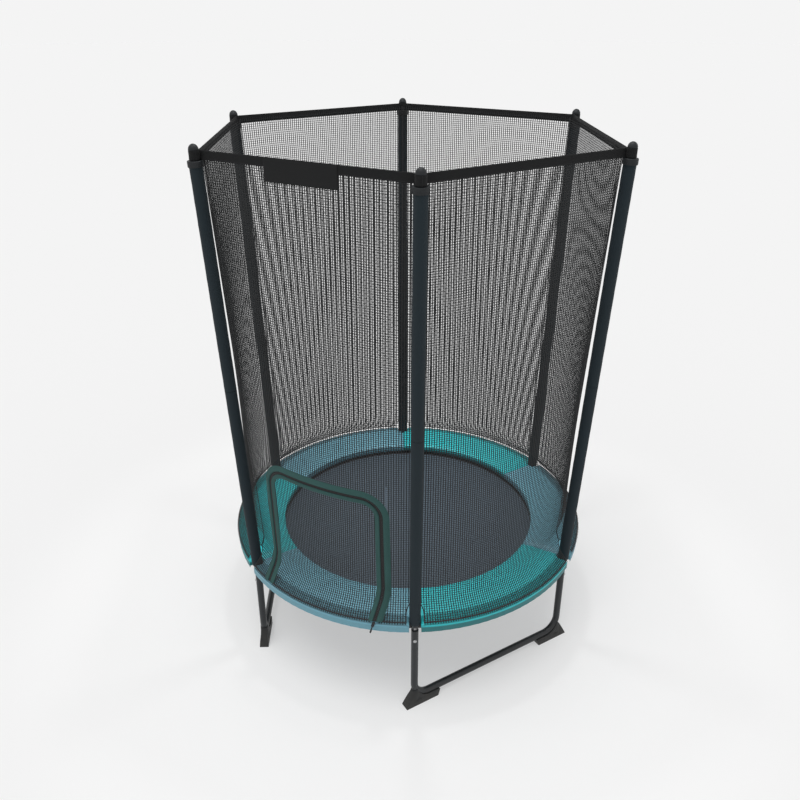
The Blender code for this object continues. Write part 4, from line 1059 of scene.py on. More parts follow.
def make_mat():
    """The mat's cloth, its sewn webbing hem and the wire triangles that the springs hook into."""
    sides = 180
    cloth = Piecework()
    angles = [2.0 * math.pi * index / sides for index in range(sides)]
    radii = [0.004, 0.03, 0.07, 0.12, 0.18, 0.24, 0.30, 0.36, 0.42, 0.48, 0.53, 0.57, 0.60, 0.625, 0.645,
             0.662, 0.678, 0.690]

    def drawn(radius, angle, lift):
        pull = (radius / MAT_RADIUS) ** 9
        ripple = 0.0011 * pull * math.cos(SPRING_COUNT * (angle - spring_angle(0)))
        return polar(radius, angle, RIM_HEIGHT + lift + ripple)

    half = MAT_THICKNESS / 2.0
    rings = [[drawn(radius, angle, half) for angle in angles] for radius in radii]
    rings += [[drawn(radius, angle, -half) for angle in angles] for radius in reversed(radii)]
    cloth.loft(rings)
    woven = mesh_of(cloth, "mat", [mat_weave])
    layout = woven.uv_layers[0].data
    for corner in woven.loops:
        spot = woven.vertices[corner.vertex_index].co
        layout[corner.index].uv = (spot.x, spot.y)
    hem = Piecework()
    section = [(0.6655, -0.0006), (0.6655, 0.0022), (0.6670, 0.0033), (0.6700, 0.0036), (0.6990, 0.0036),
               (0.7030, 0.0032),
               (0.7052, 0.0018), (0.7055, 0.0), (0.7052, -0.0018), (0.7030, -0.0032), (0.6990, -0.0036),
               (0.6700, -0.0036),
               (0.6670, -0.0033), (0.6655, -0.0022)]
    rings = []
    for angle in angles:
        scallop = 0.0022 * (1.0 - math.cos(SPRING_COUNT * (angle - spring_angle(0)))) / 2.0
        rings.append([drawn(radius - scallop * (radius - 0.6655) / 0.04, angle, lift) for radius,
                      lift in section])
    hem.loft(rings, closed=True)
    rigging = Piecework()
    for index in range(SPRING_COUNT):
        angle = spring_angle(index)
        out = polar(1.0, angle, 0.0)
        side = polar(1.0, angle + math.pi / 2.0, 0.0)
        centre = UP * (RIM_HEIGHT + 0.0005)
        line = [(0.688, -0.0125), (0.7000, -0.0130), (0.7055, -0.0122), (0.7180, -0.0050),
                (0.7225, -0.0024), (0.7245, 0.0),
                (0.7225, 0.0024), (0.7180, 0.0050), (0.7055, 0.0122), (0.7000, 0.0130), (0.688, 0.0125)]
        rod(rigging, [out * radius + side * across + centre for radius, across in line], 0.0017, 8)
        loop = [(0.6985, 0.0042), (0.7045, 0.0046), (0.7068, 0.0030), (0.7072, 0.0), (0.7068, -0.0030),
                (0.7045, -0.0046),
                (0.6985, -0.0042)]
        for across in (-0.0095, 0.0095):
            rings = [[out * radius + side * (across + shift) + UP * (RIM_HEIGHT + lift)
                      for shift in (-0.0042, 0.0042)]
                     for radius, lift in loop]
            inner = [[out * (radius - 0.0008) + side * (across + shift) + UP * (RIM_HEIGHT + lift * 0.80)
                      for shift in (0.0042, -0.0042)] for radius, lift in loop]
            rigging.loft([first + second for first, second in zip(rings, inner)], 1)
    return woven, mesh_of(hem, "hem", [hem_black]), mesh_of(rigging, "rigging", [spring_zinc, hem_black])


def make_spring():
    """A coil spring along +X at the rim's height, with a hook at each end."""
    work = Piecework()
    coil = 0.0082
    wire = 0.00125
    start, end, turns = 0.7350, 0.8080, 23
    line = [Vector((0.7225, 0.0, -0.0026)), Vector((0.7208, 0.0, -0.0008)), Vector((0.7205, 0.0, 0.0012)),
            Vector((0.7222, 0.0, 0.0032)), Vector((0.7255, 0.0, 0.0040)), Vector((0.7300, 0.0, 0.0036)),
            Vector((0.7335, 0.0020, 0.0060))]
    for index in range(turns * 8 + 1):
        turn = 2.0 * math.pi * index / 8
        shape = min(1.0, 0.80 + index / 40.0, 0.80 + (turns * 8 - index) / 40.0)
        line.append(Vector((between(start, end, index / (turns * 8)), coil * shape * math.sin(turn),
                            coil * shape * math.cos(turn))))
    line += [Vector((0.8105, 0.0020, 0.0052)), Vector((0.8140, 0.0, 0.0030)), Vector((0.8190, 0.0, 0.0022)),
             Vector((0.8240, 0.0, 0.0018)), Vector((0.8268, 0.0, 0.0004)), Vector((0.8272, 0.0, -0.0030))]
    rod(work, [spot + UP * RIM_HEIGHT for spot in line], wire, 6)
    return mesh_of(work, "spring", [spring_zinc])


def lay_mat():
    woven, hem, rigging = make_mat()
    cloth = put("mat_cloth", woven, "mat", ["jump_mat"])
    edge = put("mat_hem", hem, "mat")
    wires = put("mat_triangles", rigging, "mat")
    spring = make_spring()
    for index in range(SPRING_COUNT):
        angle = spring_angle(index)
        coil = put(f"spring_{index + 1:02d}", spring, None, (), angle)
        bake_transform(coil)


# ================================================================ the net's surface
def flare_radius(height):
    """Radius of the net's flared foot at a height, with its two bends drawn soft."""
    total = 0.0
    for shift in (-1.0, -0.5, 0.0, 0.5, 1.0):
        spot = height + shift * NET_SOFTNESS
        if spot < NET_KNEE_HEIGHT:
            total += between(NET_HEM, NET_KNEE, (spot - NET_HEM_HEIGHT) / (NET_KNEE_HEIGHT - NET_HEM_HEIGHT))
        elif spot < NET_WAIST_HEIGHT:
            total += between(NET_KNEE, NET_WAIST,
                             (spot - NET_KNEE_HEIGHT) / (NET_WAIST_HEIGHT - NET_KNEE_HEIGHT))
        else:
            total += NET_WAIST
    return total / 5.0


def net_half(height):
    """Half the width of one side of the net at a height."""
    if height <= NET_WAIST_HEIGHT:
        return flare_radius(height) / 2.0
    rise = (height - NET_WAIST_HEIGHT) / (NET_TOP - NET_WAIST_HEIGHT)
    return between(flare_radius(NET_WAIST_HEIGHT) / 2.0, NET_TOP_HALF, rise)


def net_distance(share, height):
    """Distance of the net from the middle, square to a side, at a share of the way from pole to pole."""
    if height <= NET_WAIST_HEIGHT:
        return flare_radius(height) * math.sqrt(1.0 - share * share / 4.0)
    rise = (height - NET_WAIST_HEIGHT) / (NET_TOP - NET_WAIST_HEIGHT)
    waist = flare_radius(NET_WAIST_HEIGHT) * math.sqrt(1.0 - share * share / 4.0)
    top = min(NET_TOP_APOTHEM, math.sqrt(NET_TOP_CORNER ** 2 - (share * NET_TOP_HALF) ** 2))
    return between(waist, top, rise)


def side_spot(side, distance, across, height):
    angle = side_angle(side)
    return polar(distance, angle, height) + polar(across, angle + math.pi / 2.0, 0.0)


def net_place(side, share, height):
    return side_spot(side, net_distance(share, height), share * net_half(height), height)


def net_out(side, share, height):
    """The way out of the net, square to its surface."""
    small = 0.004
    along = net_place(side, share + small, height) - net_place(side, share - small, height)
    rise = net_place(side, share, height + small) - net_place(side, share, height - small)
    return along.cross(rise).normalized()


def doorway_reach(height, offset):
    """Half the doorway's width at a height, grown by an offset. Zero above it."""
    half = DOOR_HALF_WIDTH + offset
    corner = DOOR_CORNER + offset
    over = height - (DOOR_TOP - DOOR_CORNER)
    if over <= 0.0:
        return half
    if over >= corner:
        return 0.0
    return half - corner + math.sqrt(corner * corner - over * over)


def notch_reach(height):
    """Half the width of the arched notch that clears a pole. Zero above it."""
    spring_line = NOTCH_CROWN - NOTCH_ARCH
    if height <= spring_line:
        return NOTCH_HALF_WIDTH
    rise = (height - spring_line) / NOTCH_ARCH
    return NOTCH_HALF_WIDTH * math.sqrt(max(0.0, 1.0 - rise * rise))


def share_off_pole(height, gap):
    """The share of a side at which the net is that far from the line of the pole."""
    if gap <= 0.0:
        return 1.0
    return 2.0 * math.sin(HALF_STEP - math.asin(gap / flare_radius(height)))


def flat_yarn(work, path, outs, sideways, width, thickness):
    """A flat yarn: its path, the way out at each point, and the way that its width runs."""
    rings = []
    for spot, out, side in zip(path, outs, sideways):
        wide = side * (width / 2.0)
        deep = out * (thickness / 2.0)
        rings.append([spot - wide - deep, spot + wide - deep, spot + wide + deep, spot - wide + deep])
    work.loft(rings)
    lengths = running(path)
    return lengths[-1] * (width + thickness)


# ================================================================ net
FLARE_HEIGHTS = [0.5235, 0.5430, 0.5625, 0.5790, 0.5890, 0.5960, 0.6030, 0.6110, 0.6240, 0.6390, 0.6500]


def net_levels():
    """Heights of the level yarns, a pitch apart along the net from the hem to the band."""
    levels = [NET_HEM_HEIGHT + 0.0076]
    while levels[-1] < BAND_BOTTOM + 0.010:
        below = levels[-1]
        slope = (flare_radius(below) - flare_radius(below + 0.002)) / 0.002
        levels.append(below + LEVEL_PITCH / math.sqrt(1.0 + slope * slope))
    return levels


def upright_pieces(side, share, inside):
    """Runs of heights along one upright yarn, off the doorway and notches, or inside the doorway."""
    heights = list(FLARE_HEIGHTS)
    near_door = side == DOOR_SIDE and abs(share) * net_half(NET_HEM_HEIGHT) < DOOR_HALF_WIDTH + BINDING_WIDTH
    if near_door:
        heights += steps(NET_WAIST_HEIGHT + 0.008, DOOR_TOP + BINDING_WIDTH, 55) + [NET_TOP - 0.012]
    else:
        heights += [1.2, NET_TOP - 0.012]
    runs = [[]]
    for height in heights:
        across = abs(share) * net_half(height)
        reach = doorway_reach(height, -0.016 if inside else 0.014)
        in_doorway = side == DOOR_SIDE and across < reach
        in_notch = height < NOTCH_CROWN and abs(share) > share_off_pole(height, notch_reach(height))
        if (in_doorway if inside else not in_doorway) and not in_notch:
            runs[-1].append(height)
        elif runs[-1]:
            runs.append([])
    return [run for run in runs if len(run) > 1]


def knit_uprights(work, side, inside):
    area = 0.0
    for index in range(UPRIGHT_YARNS):
        share = -1.0 + (2.0 * index + 1.0) / UPRIGHT_YARNS
        for run in upright_pieces(side, share, inside):
            path = [net_place(side, share, height) for height in run]
            outs = [net_out(side, share, height) for height in run]
            if run[0] == FLARE_HEIGHTS[0]:
                path.insert(0, path[0] + (path[0] - path[1]).normalized() * 0.006)
                outs.insert(0, outs[0])
            path = [spot + out * YARN_OFFSET for spot, out in zip(path, outs)]
            headings = [(path[min(spot + 1, len(path) - 1)] - path[max(spot - 1, 0)]).normalized()
                        for spot in range(len(path))]
            ways = [out.cross(heading).normalized() for out, heading in zip(outs, headings)]
            area += flat_yarn(work, path, outs, ways, UPRIGHT_WIDTH, YARN_THICKNESS)
    return area


def knit_levels(work, side, inside):
    area = 0.0
    for height in net_levels():
        half = net_half(height)
        end = share_off_pole(height, notch_reach(height)) if height < NOTCH_CROWN else 1.0
        reach = doorway_reach(height, -0.016 if inside else 0.014) / half
        if side != DOOR_SIDE:
            spans = [(-end, end)]
        elif inside:
            spans = [(-reach, reach)] if reach > 0.0 else []
        elif reach > 0.0:
            spans = [(-end, -reach), (reach, end)]
        else:
            spans = [(-end, end)]
        for low, high in spans:
            count = max(2, math.ceil((high - low) / (0.22 if height < 1.4 else 0.34)))
            shares = steps(low, high, count)
            path = [net_place(side, share, height) for share in shares]
            outs = [net_out(side, share, height) for share in shares]
            path = [spot - out * YARN_OFFSET for spot, out in zip(path, outs)]
            ways = [UP - out * out.z for out in outs]
            area += flat_yarn(work, path, outs, [way.normalized() for way in ways], LEVEL_WIDTH,
                              YARN_THICKNESS)
    return area


def sew_tape(work, line, section, finish=0):
    """A tape sewn on the net.

    Line gives (side, share, height) for an offset, and section is (offset, lift) pairs.
    """
    lines = {offset: line(offset) for offset in {offset for offset, lift in section}}
    count = len(lines[section[0][0]])
    rings = []
    for index in range(count):
        ring = []
        for offset, lift in section:
            side, share, height = lines[offset][index]
            ring.append(net_place(side, share, height) + net_out(side, share, height) * lift)
        rings.append(ring)
    work.loft(rings, finish)


def flat_section(low, high, back, front):
    """A flat tape with rounded edges, from one offset to another."""
    edge = min(0.0014, (high - low) / 4.0)
    middle = (back + front) / 2.0
    return [(low, middle), (low + edge * 0.3, back * 0.7 + middle * 0.3), (low + edge, back),
            (high - edge, back),
            (high - edge * 0.3, back * 0.7 + middle * 0.3), (high, middle),
            (high - edge * 0.3, front * 0.7 + middle * 0.3),
            (high - edge, front), (low + edge, front), (low + edge * 0.3, front * 0.7 + middle * 0.3)]


HEM_SECTION = flat_section(-0.0012, 0.0042, -0.0016, 0.0020)


def notch_line(side, hand):
    """Offsets of the binding round half a notch, on one end of a side."""
    def line(offset):
        places = []
        for height in [0.5235, 0.532, 0.540, 0.5465]:
            share = hand * share_off_pole(height, NOTCH_HALF_WIDTH + offset)
            places.append((side, share, height))
        for turn in steps(0.0, math.pi / 2.0, 9)[1:]:
            gap = (NOTCH_HALF_WIDTH + offset) * math.cos(turn)
            height = NOTCH_CROWN - NOTCH_ARCH + (NOTCH_ARCH + offset) * math.sin(turn)
            places.append((side, hand * share_off_pole(height, gap), height))
        return places
    return line


def level_line(side, height, low, high, count):
    def line(offset):
        return [(side, share, height + offset) for share in steps(low, high, count)]
    return line


def make_net_trim():
    """Sewn parts of the net: hem tape, corner seams and the bound notches."""
    work = Piecework()
    for side in range(STATIONS):
        end = share_off_pole(NET_HEM_HEIGHT, NOTCH_HALF_WIDTH)
        reach = doorway_reach(NET_HEM_HEIGHT, 0.010) / net_half(NET_HEM_HEIGHT)
        hems = [(-end, -reach), (reach, end)] if side == DOOR_SIDE else [(-end, end)]
        for low, high in hems:
            line = level_line(side, NET_HEM_HEIGHT + 0.0010, low, high, max(4, int((high - low) * 16)))
            sew_tape(work, line, HEM_SECTION)
        for hand in (-1.0, 1.0):
            sew_tape(work, notch_line(side, hand), flat_section(-0.0005, 0.0038, -0.0011, 0.0013))
        angle = station_angle(side)
        seam = [polar(flare_radius(height), angle, height) for height in [0.6040, 0.6150, 0.6300, 0.6500]]
        seam.append(net_place(side, -1.0, NET_TOP - 0.012))
        rod(work, seam, 0.0016, 6)
    return mesh_of(work, "net_trim", [hem_black])


def make_net():
    work = Piecework()
    area = 0.0
    for side in range(STATIONS):
        area += knit_uprights(work, side, False)
        area += knit_levels(work, side, False)
    return mesh_of(work, "net", [yarn_black]), area


def hang_net():
    net, area = make_net()
    trim = put("net_trim", make_net_trim(), "frame")
    mesh = put("net_yarns", net, "frame", ["net"])


# ================================================================ door in the net
def doorway_line(offset):
    """The zip's line moved outward by an offset, from the left hem round to the right hem."""
    half = DOOR_HALF_WIDTH + offset
    corner = DOOR_CORNER + offset
    centre = DOOR_TOP - DOOR_CORNER
    heights = FLARE_HEIGHTS + steps(0.664, centre, 12)
    left = [(-half, height) for height in heights]
    left += [(-(half - corner) - corner * math.cos(turn), centre + corner * math.sin(turn))
             for turn in steps(0.0, math.pi / 2.0, 10)[1:]]
    top = [(across, DOOR_TOP + offset) for across in steps(-(half - corner), half - corner, 20)[1:-1]]
    right = [(-across, height) for across, height in reversed(left)]
    return [(DOOR_SIDE, across / net_half(height), height) for across, height in left + top + right]


def tape_length(offset):
    return running([net_place(*spot) for spot in doorway_line(offset)])[-1]


def strip_section(zip_side, edge):
    """A padded strip, thickest beside the zip and thin at its outer edge, as (offset, lift) pairs."""
    width = edge - zip_side
    crown = [(0.00, 0.0034), (0.035, 0.0052), (0.11, 0.0062), (0.25, 0.0060), (0.45, 0.0050), (0.68, 0.0035),
             (0.88, 0.0021), (0.97, 0.0014), (1.00, 0.0004)]
    back = [(0.985, -0.0012), (0.03, -0.0012), (0.00, -0.0006)]
    return [(zip_side + width * share, lift) for share, lift in crown + back]


def make_tape(zip_side, edge, name):
    """One padded strip beside the zip, and the half of the zip's tape that is sewn under it."""
    work = Piecework()
    sew_tape(work, doorway_line, strip_section(zip_side, edge))
    zipped = Piecework()
    low, high = sorted((math.copysign(0.0001, zip_side), zip_side * 1.35))
    sew_tape(zipped, doorway_line, flat_section(low, high, -0.0008, 0.0012))
    return mesh_of(work, name, [tape_teal]), zipped


def set_teeth(work, hand):
    """Every second tooth of the zip, on the door's tape or on the doorway's."""
    line = doorway_line(0.0)
    spots = [net_place(*spot) for spot in line]
    outs = [net_out(*spot) for spot in line]
    length = running(spots)
    leg = 0
    for index in range(int(length[-1] / TOOTH_PITCH)):
        if index % 2 != (0 if hand > 0 else 1):
            continue
        target = (index + 0.5) * TOOTH_PITCH
        while length[leg + 1] < target:
            leg += 1
        share = (target - length[leg]) / (length[leg + 1] - length[leg])
        heading = (spots[leg + 1] - spots[leg]).normalized()
        out = outs[leg].lerp(outs[leg + 1], share)
        out = (out - heading * out.dot(heading)).normalized()
        away = heading.cross(out).normalized()
        centre = spots[leg].lerp(spots[leg + 1], share)
        if (centre + away * 0.001 - side_spot(DOOR_SIDE, 0.85, 0.0, 0.8)).length < \
                (centre - away * 0.001 - side_spot(DOOR_SIDE, 0.85, 0.0, 0.8)).length:
            away = -away
        root = centre + away * (hand * 0.0012)
        rings = []
        for step, size in ((-0.0010, 0.55), (-0.0007, 1.0), (0.0007, 1.0), (0.0010, 0.55)):
            middle = root + heading * step + out * 0.0006
            wide = away * (0.0019 * size)
            deep = out * (0.0012 * size)
            rings.append([middle - wide - deep, middle + wide - deep, middle + wide + deep,
                          middle - wide + deep])
        work.loft(rings, 1)


def fit_door():
    outer, outer_zip = make_tape(ZIP_HALF_WIDTH, BINDING_WIDTH, "binding")
    inner, inner_zip = make_tape(-ZIP_HALF_WIDTH, -DOOR_STRIP, "strip")
    set_teeth(outer_zip, 1.0)
    set_teeth(inner_zip, -1.0)
    doorway_zip = put("doorway_zip", mesh_of(outer_zip, "doorway_zip", [zip_tape, zip_teeth]), "frame")
    binding = put("doorway_binding", outer, "frame", ["door_binding"])
    tape_length(0.02)
    work = Piecework()
    area = knit_uprights(work, DOOR_SIDE, True) + knit_levels(work, DOOR_SIDE, True)
    trim = Piecework()
    reach = doorway_reach(NET_HEM_HEIGHT, -0.010) / net_half(NET_HEM_HEIGHT)
    line = level_line(DOOR_SIDE, NET_HEM_HEIGHT + 0.0010, -reach, reach, 20)
    sew_tape(trim, line, HEM_SECTION)
    door_net = put("door_yarns", mesh_of(work, "door_yarns", [yarn_black]), None,
                   ["door_panel"])
    strip = put("door_strip", inner, None)
    zipped = put("door_zip", mesh_of(inner_zip, "door_zip", [zip_tape, zip_teeth]), None)
    seams = put("door_seams", mesh_of(trim, "door_seams", [hem_black]), None)
    tape_length(-0.017)
    start = side_spot(DOOR_SIDE, 0.9, 0.0, NET_HEM_HEIGHT)
    for piece in (door_net, strip, zipped, seams):
        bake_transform(piece)


# ================================================================ zip slider and pull
def zip_axes():
    """The zip's way up the flare, across it and out of it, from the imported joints."""
    joints = {joint["name"]: joint for joint in frame["joints"]}
    along = Vector(joints["zip_slide"]["axis"]).normalized()
    across = -Vector(joints["zip_pull_swing"]["axis"]).normalized()
    out = along.cross(across)
    if out.z < 0.0:
        out = -out
    return along, across, out.normalized(), Vector(joints["zip_pull_swing"]["pos_m"])


def plate(work, outline, along, across, out, centre, low, high, edge, finish=0):
    """A plate with softened edges. Its outline is (along, across) pairs."""
    rings = []
    for lift, shrink in ((low, edge), (low + edge, 0.0), (high - edge, 0.0), (high, edge)):
        ring = []
        for x, y in outline:
            scale = 1.0 - shrink / max(math.hypot(x, y), 0.002)
            ring.append(centre + along * (x * scale) + across * (y * scale) + out * lift)
        rings.append(ring)
    work.loft(rings, finish)


def make_slider():
    """A moulded slider: two nosed plates, the wedge between them, a bridge and the pin."""
    along, across, out, pin = zip_axes()
    work = Piecework()
    centre = pin + along * 0.006 - out * 0.0096
    nose = []
    for turn in steps(0.0, math.pi, 12):
        nose.append((0.0055 + 0.0062 * math.sin(turn), -0.0068 * math.cos(turn)))
    outline = nose + [(-0.0040, 0.0062), (-0.0112, 0.0048), (-0.0119, 0.0038), (-0.0119, -0.0038),
                      (-0.0112, -0.0048),
                      (-0.0040, -0.0062)]
    plate(work, outline, along, across, out, centre, 0.0003, 0.0020, 0.0004)
    plate(work, outline, along, across, out, centre, 0.0042, 0.0062, 0.0005)
    wedge = [(0.0112, 0.0), (0.0080, 0.0020), (0.0030, 0.0012), (0.0020, 0.0), (0.0030, -0.0012),
             (0.0080, -0.0020)]
    plate(work, wedge, along, across, out, centre, 0.0018, 0.0044, 0.0002)
    bridge = [(-0.0095, 0.0060), (-0.0093, 0.0085), (-0.0078, 0.0112), (-0.0050, 0.0122), (-0.0020, 0.0122),
              (0.0012, 0.0108),
              (0.0042, 0.0080), (0.0050, 0.0058)]
    path = [centre + along * x + out * (lift * 0.94) for x, lift in bridge]
    for side in (-1.0, 1.0):
        shifted = [spot + across * (side * 0.0053) for spot in path]
        rod(work, shifted, 0.0008, 8)
    turned(work, [(-0.0058, 0.0010), (-0.0056, 0.0012), (0.0056, 0.0012), (0.0058, 0.0010)], pin, across,
           out, 16)
    return mesh_of(work, "slider", [slider_black])


def make_pull():
    """The slider's tab: an eye round the pin, a waist, and a rounded ribbed end."""
    along, across, out, pin = zip_axes()
    work = Piecework()
    turned(work, [(-0.0036, 0.0016), (-0.0036, 0.0027), (-0.0032, 0.0030), (0.0032, 0.0030),
                  (0.0036, 0.0027), (0.0036, 0.0016)],
           pin, across, out, 20, closed=True)
    sides = [(0.0022, 0.0034), (0.0060, 0.0030), (0.0100, 0.0028), (0.0150, 0.0034), (0.0200, 0.0039),
             (0.0275, 0.0040),
             (0.0302, 0.0036), (0.0318, 0.0024), (0.0326, 0.0008)]
    outline = [(-reach, half) for reach, half in sides] + [(-reach, -half) for reach, half in reversed(sides)]
    rings = []
    for lift, shrink in ((-0.0010, 0.0003), (-0.0007, 0.0), (0.0007, 0.0), (0.0010, 0.0003)):
        rings.append([pin + along * (x + shrink) + across * (y - math.copysign(shrink,
                                                                               y)) + out * lift for x,
                                                                               y in outline])
    work.loft(rings)
    for reach in (0.0215, 0.0240, 0.0265):
        spot = pin - along * reach
        rod(work, [spot + across * y + out * 0.0010 for y in (-0.0028, 0.0, 0.0028)], 0.00045, 6)
        rod(work, [spot + across * y - out * 0.0010 for y in (-0.0028, 0.0, 0.0028)], 0.00045, 6)
    return mesh_of(work, "pull", [slider_black])


def fit_slider():
    put("zip_slider_body", make_slider(), "slider", ["zip_slider"])
    put("zip_pull_tab", make_pull(), "pull", ["zip_pull"])


# ================================================================ top band and bare label
def band_line():
    """The strap's outer line: from pole to pole, with each corner cut square to its radius."""
    cut = math.tan(HALF_STEP)
    half = (BAND_OUTER / math.cos(HALF_STEP) - BAND_CORNER) / cut
    places = []
    for station in range(STATIONS):
        angle = station_angle(station)
        for side in (-1.0, 1.0):
            places.append(polar(BAND_CORNER, angle, 0.0) + polar(side * half, angle + math.pi / 2.0, 0.0))
    line = []
    for index in range(0, len(places), 2):
        low = places[index + 1]
        high = places[(index + 2) % len(places)]
        line.append(places[index])
        line.append(low)
        line += [low.lerp(high, share) for share in steps(0.0, 1.0, 12)[1:-1]]
    return line


def make_band():
    """Webbing from pole to pole, with a sewn loop round each cap's neck."""
    work = Piecework()
    line = band_line()
    thick = BAND_THICKNESS
    section = [(0.0002, 0.0), (0.0, 0.0010), (0.0, 0.0060), (0.0003, 0.0080), (0.0003, 0.0280),
               (0.0, 0.0300), (0.0, 0.0350),
               (0.0002, 0.0360), (thick - 0.0002, 0.0360), (thick, 0.0350), (thick, 0.0010),
               (thick - 0.0002, 0.0)]
    rings = []
    for index, spot in enumerate(line):
        before = line[index - 1]
        after = line[(index + 1) % len(line)]
        first = (spot - before).normalized()
        second = (after - spot).normalized()
        inward = UP.cross((first + second).normalized())
        reach = 1.0 / max(0.5, inward.dot(UP.cross(first)))
        rings.append([spot + inward * (depth * reach) + UP * (BAND_BOTTOM + height) for depth,
                      height in section])
    work.loft(rings, closed=True)
    for station in range(STATIONS):
        angle = station_angle(station)
        out = polar(1.0, angle, 0.0)
        foot = out * BAND_LOOP_CIRCLE + UP * BAND_BOTTOM
        radius = BAND_LOOP_RADIUS
        profile = [(0.0, radius - 0.0003), (0.001, radius), (0.0070, radius), (0.0085, radius - 0.0003),
                   (0.0275, radius - 0.0003), (0.0290, radius), (0.035, radius), (0.036, radius - 0.0003),
                   (0.036, radius - 0.0018), (0.0, radius - 0.0018)]
        turned(work, profile, foot, UP, out, 40, closed=True)
        sideways = polar(1.0, angle + math.pi / 2.0, 0.0)
        for side in (-1.0, 1.0):
            middle = out * (BAND_LOOP_CIRCLE - 0.0192) + sideways * (side * 0.0105) + UP * BAND_BOTTOM
            tack = [middle + UP * 0.005 + out * 0.0012, middle + UP * 0.031 + out * 0.0012]
            rod(work, tack, 0.0014, 8)
    return mesh_of(work, "band", [webbing_black])


def make_label():
    """The bare patch: one cloth with a folded, stitched edge all round."""
    work = Piecework()
    near = BAND_OUTER + 0.0005
    height = BAND_TOP - LABEL_BOTTOM
    section = [(0.0002, 0.0), (0.0, 0.0008), (0.0, height - 0.0008), (0.0002, height), (0.0014, height),
               (0.0016, height - 0.0010),
               (0.0016, height - 0.0085), (0.0011, height - 0.0105), (0.0011, 0.0105), (0.0016, 0.0085),
               (0.0016, 0.0010),
               (0.0014, 0.0)]
    rings = []
    for across in [LABEL_LEFT, LABEL_LEFT + 0.0006] + steps(LABEL_LEFT + 0.008, LABEL_RIGHT - 0.008, 30) + \
            [LABEL_RIGHT - 0.0006, LABEL_RIGHT]:
        end = across in (LABEL_LEFT, LABEL_RIGHT)
        ring = []
        for depth, rise in section:
            hang = max(0.0, (BAND_BOTTOM - LABEL_BOTTOM - rise) / 0.053)
            wave = 0.0009 * hang * math.sin(across * 34.0 + 0.6)
            ring.append(side_spot(DOOR_SIDE, near + (0.0008 if end else depth) + max(wave, -0.0002), across,
                                  LABEL_BOTTOM + rise))
        rings.append(ring)
    work.loft(rings)
    return mesh_of(work, "label", [label_black])


def hang_band():
    length = running(band_line())[-1]
    band = put("band_strap", make_band(), "frame", ["top_band"])
    label = put("label_cloth", make_label(), "frame", ["label_patch"])


lay_pads()
lay_mat()
hang_net()
fit_door()
fit_slider()
hang_band()


# ================================================================ floor, light and camera
PALE = (0.905, 0.905, 0.905, 1.0)
SKY_LEVEL = 0.606
SUN_LEVEL = 1.28
SUN_WIDTH = math.radians(40.0)
TOP_LAMP_HEIGHT = 4.6
TOP_LAMP_REACH = 2.2
TOP_LAMP_POWER = 370.0
FLOOR_GLOW = 0.45


def rays_seen(tree):
    """One for what the eye, a mirror or glass shows, and nothing for the light that falls on things."""
    rays = node(tree, "ShaderNodeLightPath").outputs
    return maths(tree, "MAXIMUM", rays["Is Camera Ray"], maths(tree, "MAXIMUM", rays["Is Glossy Ray"],
                                                             rays["Is Transmission Ray"]))


def lay_floor():
    """A wide pale floor that takes a soft shadow."""
    work = Piecework()
    work.loft([[polar(60.0, 2.0 * math.pi * index / 64, -0.0004) for index in range(64)],
               [polar(60.0, 2.0 * math.pi * index / 64, -0.0104) for index in range(64)]])
    floor = place_in_scene("floor", mesh_of(work, "floor", []))
    material, tree, shader, _, _ = start_finish("Pale floor", 0.9)
    shader.inputs["Base Color"].default_value = PALE
    shader.inputs["Specular IOR Level"].default_value = 0.0
    glow = node(tree, "ShaderNodeEmission", {"Color": PALE, "Strength": 1.0})
    seen = maths(tree, "MULTIPLY", rays_seen(tree), FLOOR_GLOW)
    mixed = node(tree, "ShaderNodeMixShader", {0: seen, 1: shader.outputs[0], 2: glow.outputs[0]})
    tree.links.new(mixed.outputs[0], tree.nodes["Material Output"].inputs["Surface"])
    floor.data.materials.append(material)


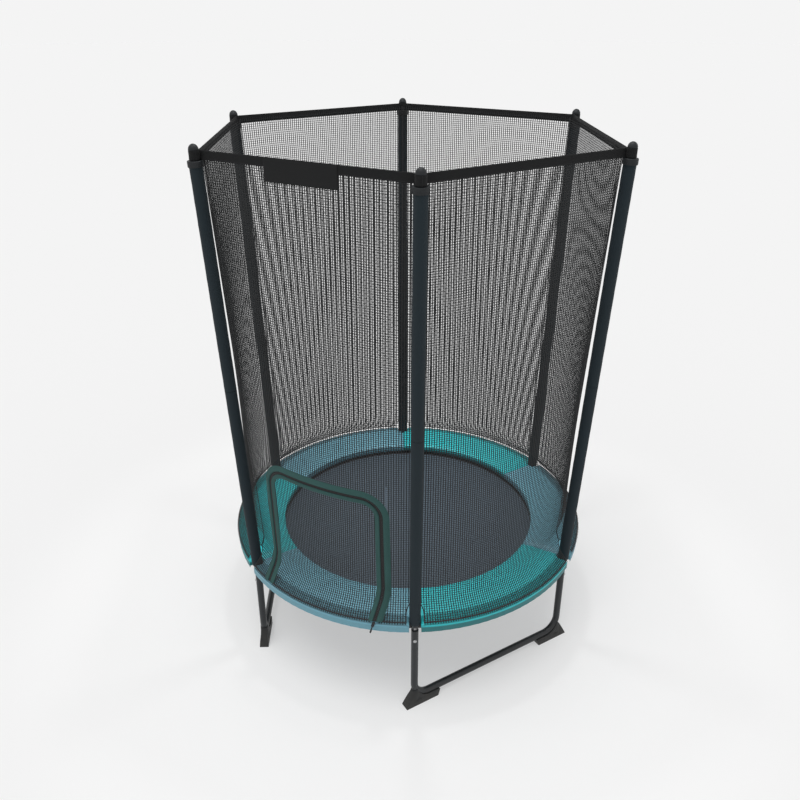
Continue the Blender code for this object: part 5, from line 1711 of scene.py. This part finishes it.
def light_studio():
    """An even pale sky, one high broad sun for a soft shadow, and a soft lamp over the net's opening."""
    world = bpy.data.worlds.new("studio")
    bpy.context.scene.world = world
    world.use_nodes = True
    tree = world.node_tree
    tree.nodes.clear()
    seen = node(tree, "ShaderNodeBackground", {"Color": PALE, "Strength": 1.0})
    light = node(tree, "ShaderNodeBackground", {"Color": (1.0, 1.0, 1.0, 1.0), "Strength": SKY_LEVEL})
    mixed = node(tree, "ShaderNodeMixShader", {0: rays_seen(tree), 1: light.outputs[0], 2: seen.outputs[0]})
    node(tree, "ShaderNodeOutputWorld", {"Surface": mixed.outputs[0]})
    lamp = bpy.data.lights.new("key", "SUN")
    lamp.energy = SUN_LEVEL
    lamp.angle = SUN_WIDTH
    key = bpy.data.objects.new("key", lamp)
    key.rotation_euler = (math.radians(12.0), math.radians(-8.0), 0.0)
    bpy.context.scene.collection.objects.link(key)
    lamp = bpy.data.lights.new("over_the_opening", "SPOT")
    lamp.energy = TOP_LAMP_POWER
    lamp.spot_size = 2.0 * math.atan2(TOP_LAMP_REACH, TOP_LAMP_HEIGHT - PAD_TOP)
    lamp.spot_blend = 1.0
    lamp.shadow_soft_size = 0.20
    top_lamp = bpy.data.objects.new("over_the_opening", lamp)
    top_lamp.location = (0.0, 0.0, TOP_LAMP_HEIGHT)
    top_lamp.visible_camera = False
    bpy.context.scene.collection.objects.link(top_lamp)


def set_camera():
    camera = bpy.data.objects.new("camera", bpy.data.cameras.new("camera"))
    camera.data.lens = 36.0
    camera.data.sensor_width = 36.0
    camera.data.clip_end = 400.0
    right = Vector((0.99960, -0.02823, -0.00042))
    up = Vector((0.01316, 0.45298, 0.89142))
    back = -Vector((0.02497, 0.89107, -0.45317))
    turn = Matrix((right, up, back)).transposed().to_4x4()
    camera.matrix_world = Matrix.Translation((-0.14368, -3.62455, 3.01865)) @ turn
    bpy.context.scene.collection.objects.link(camera)
    bpy.context.scene.camera = camera


lay_floor()
light_studio()
set_camera()
bpy.context.scene.view_settings.view_transform = "Standard"
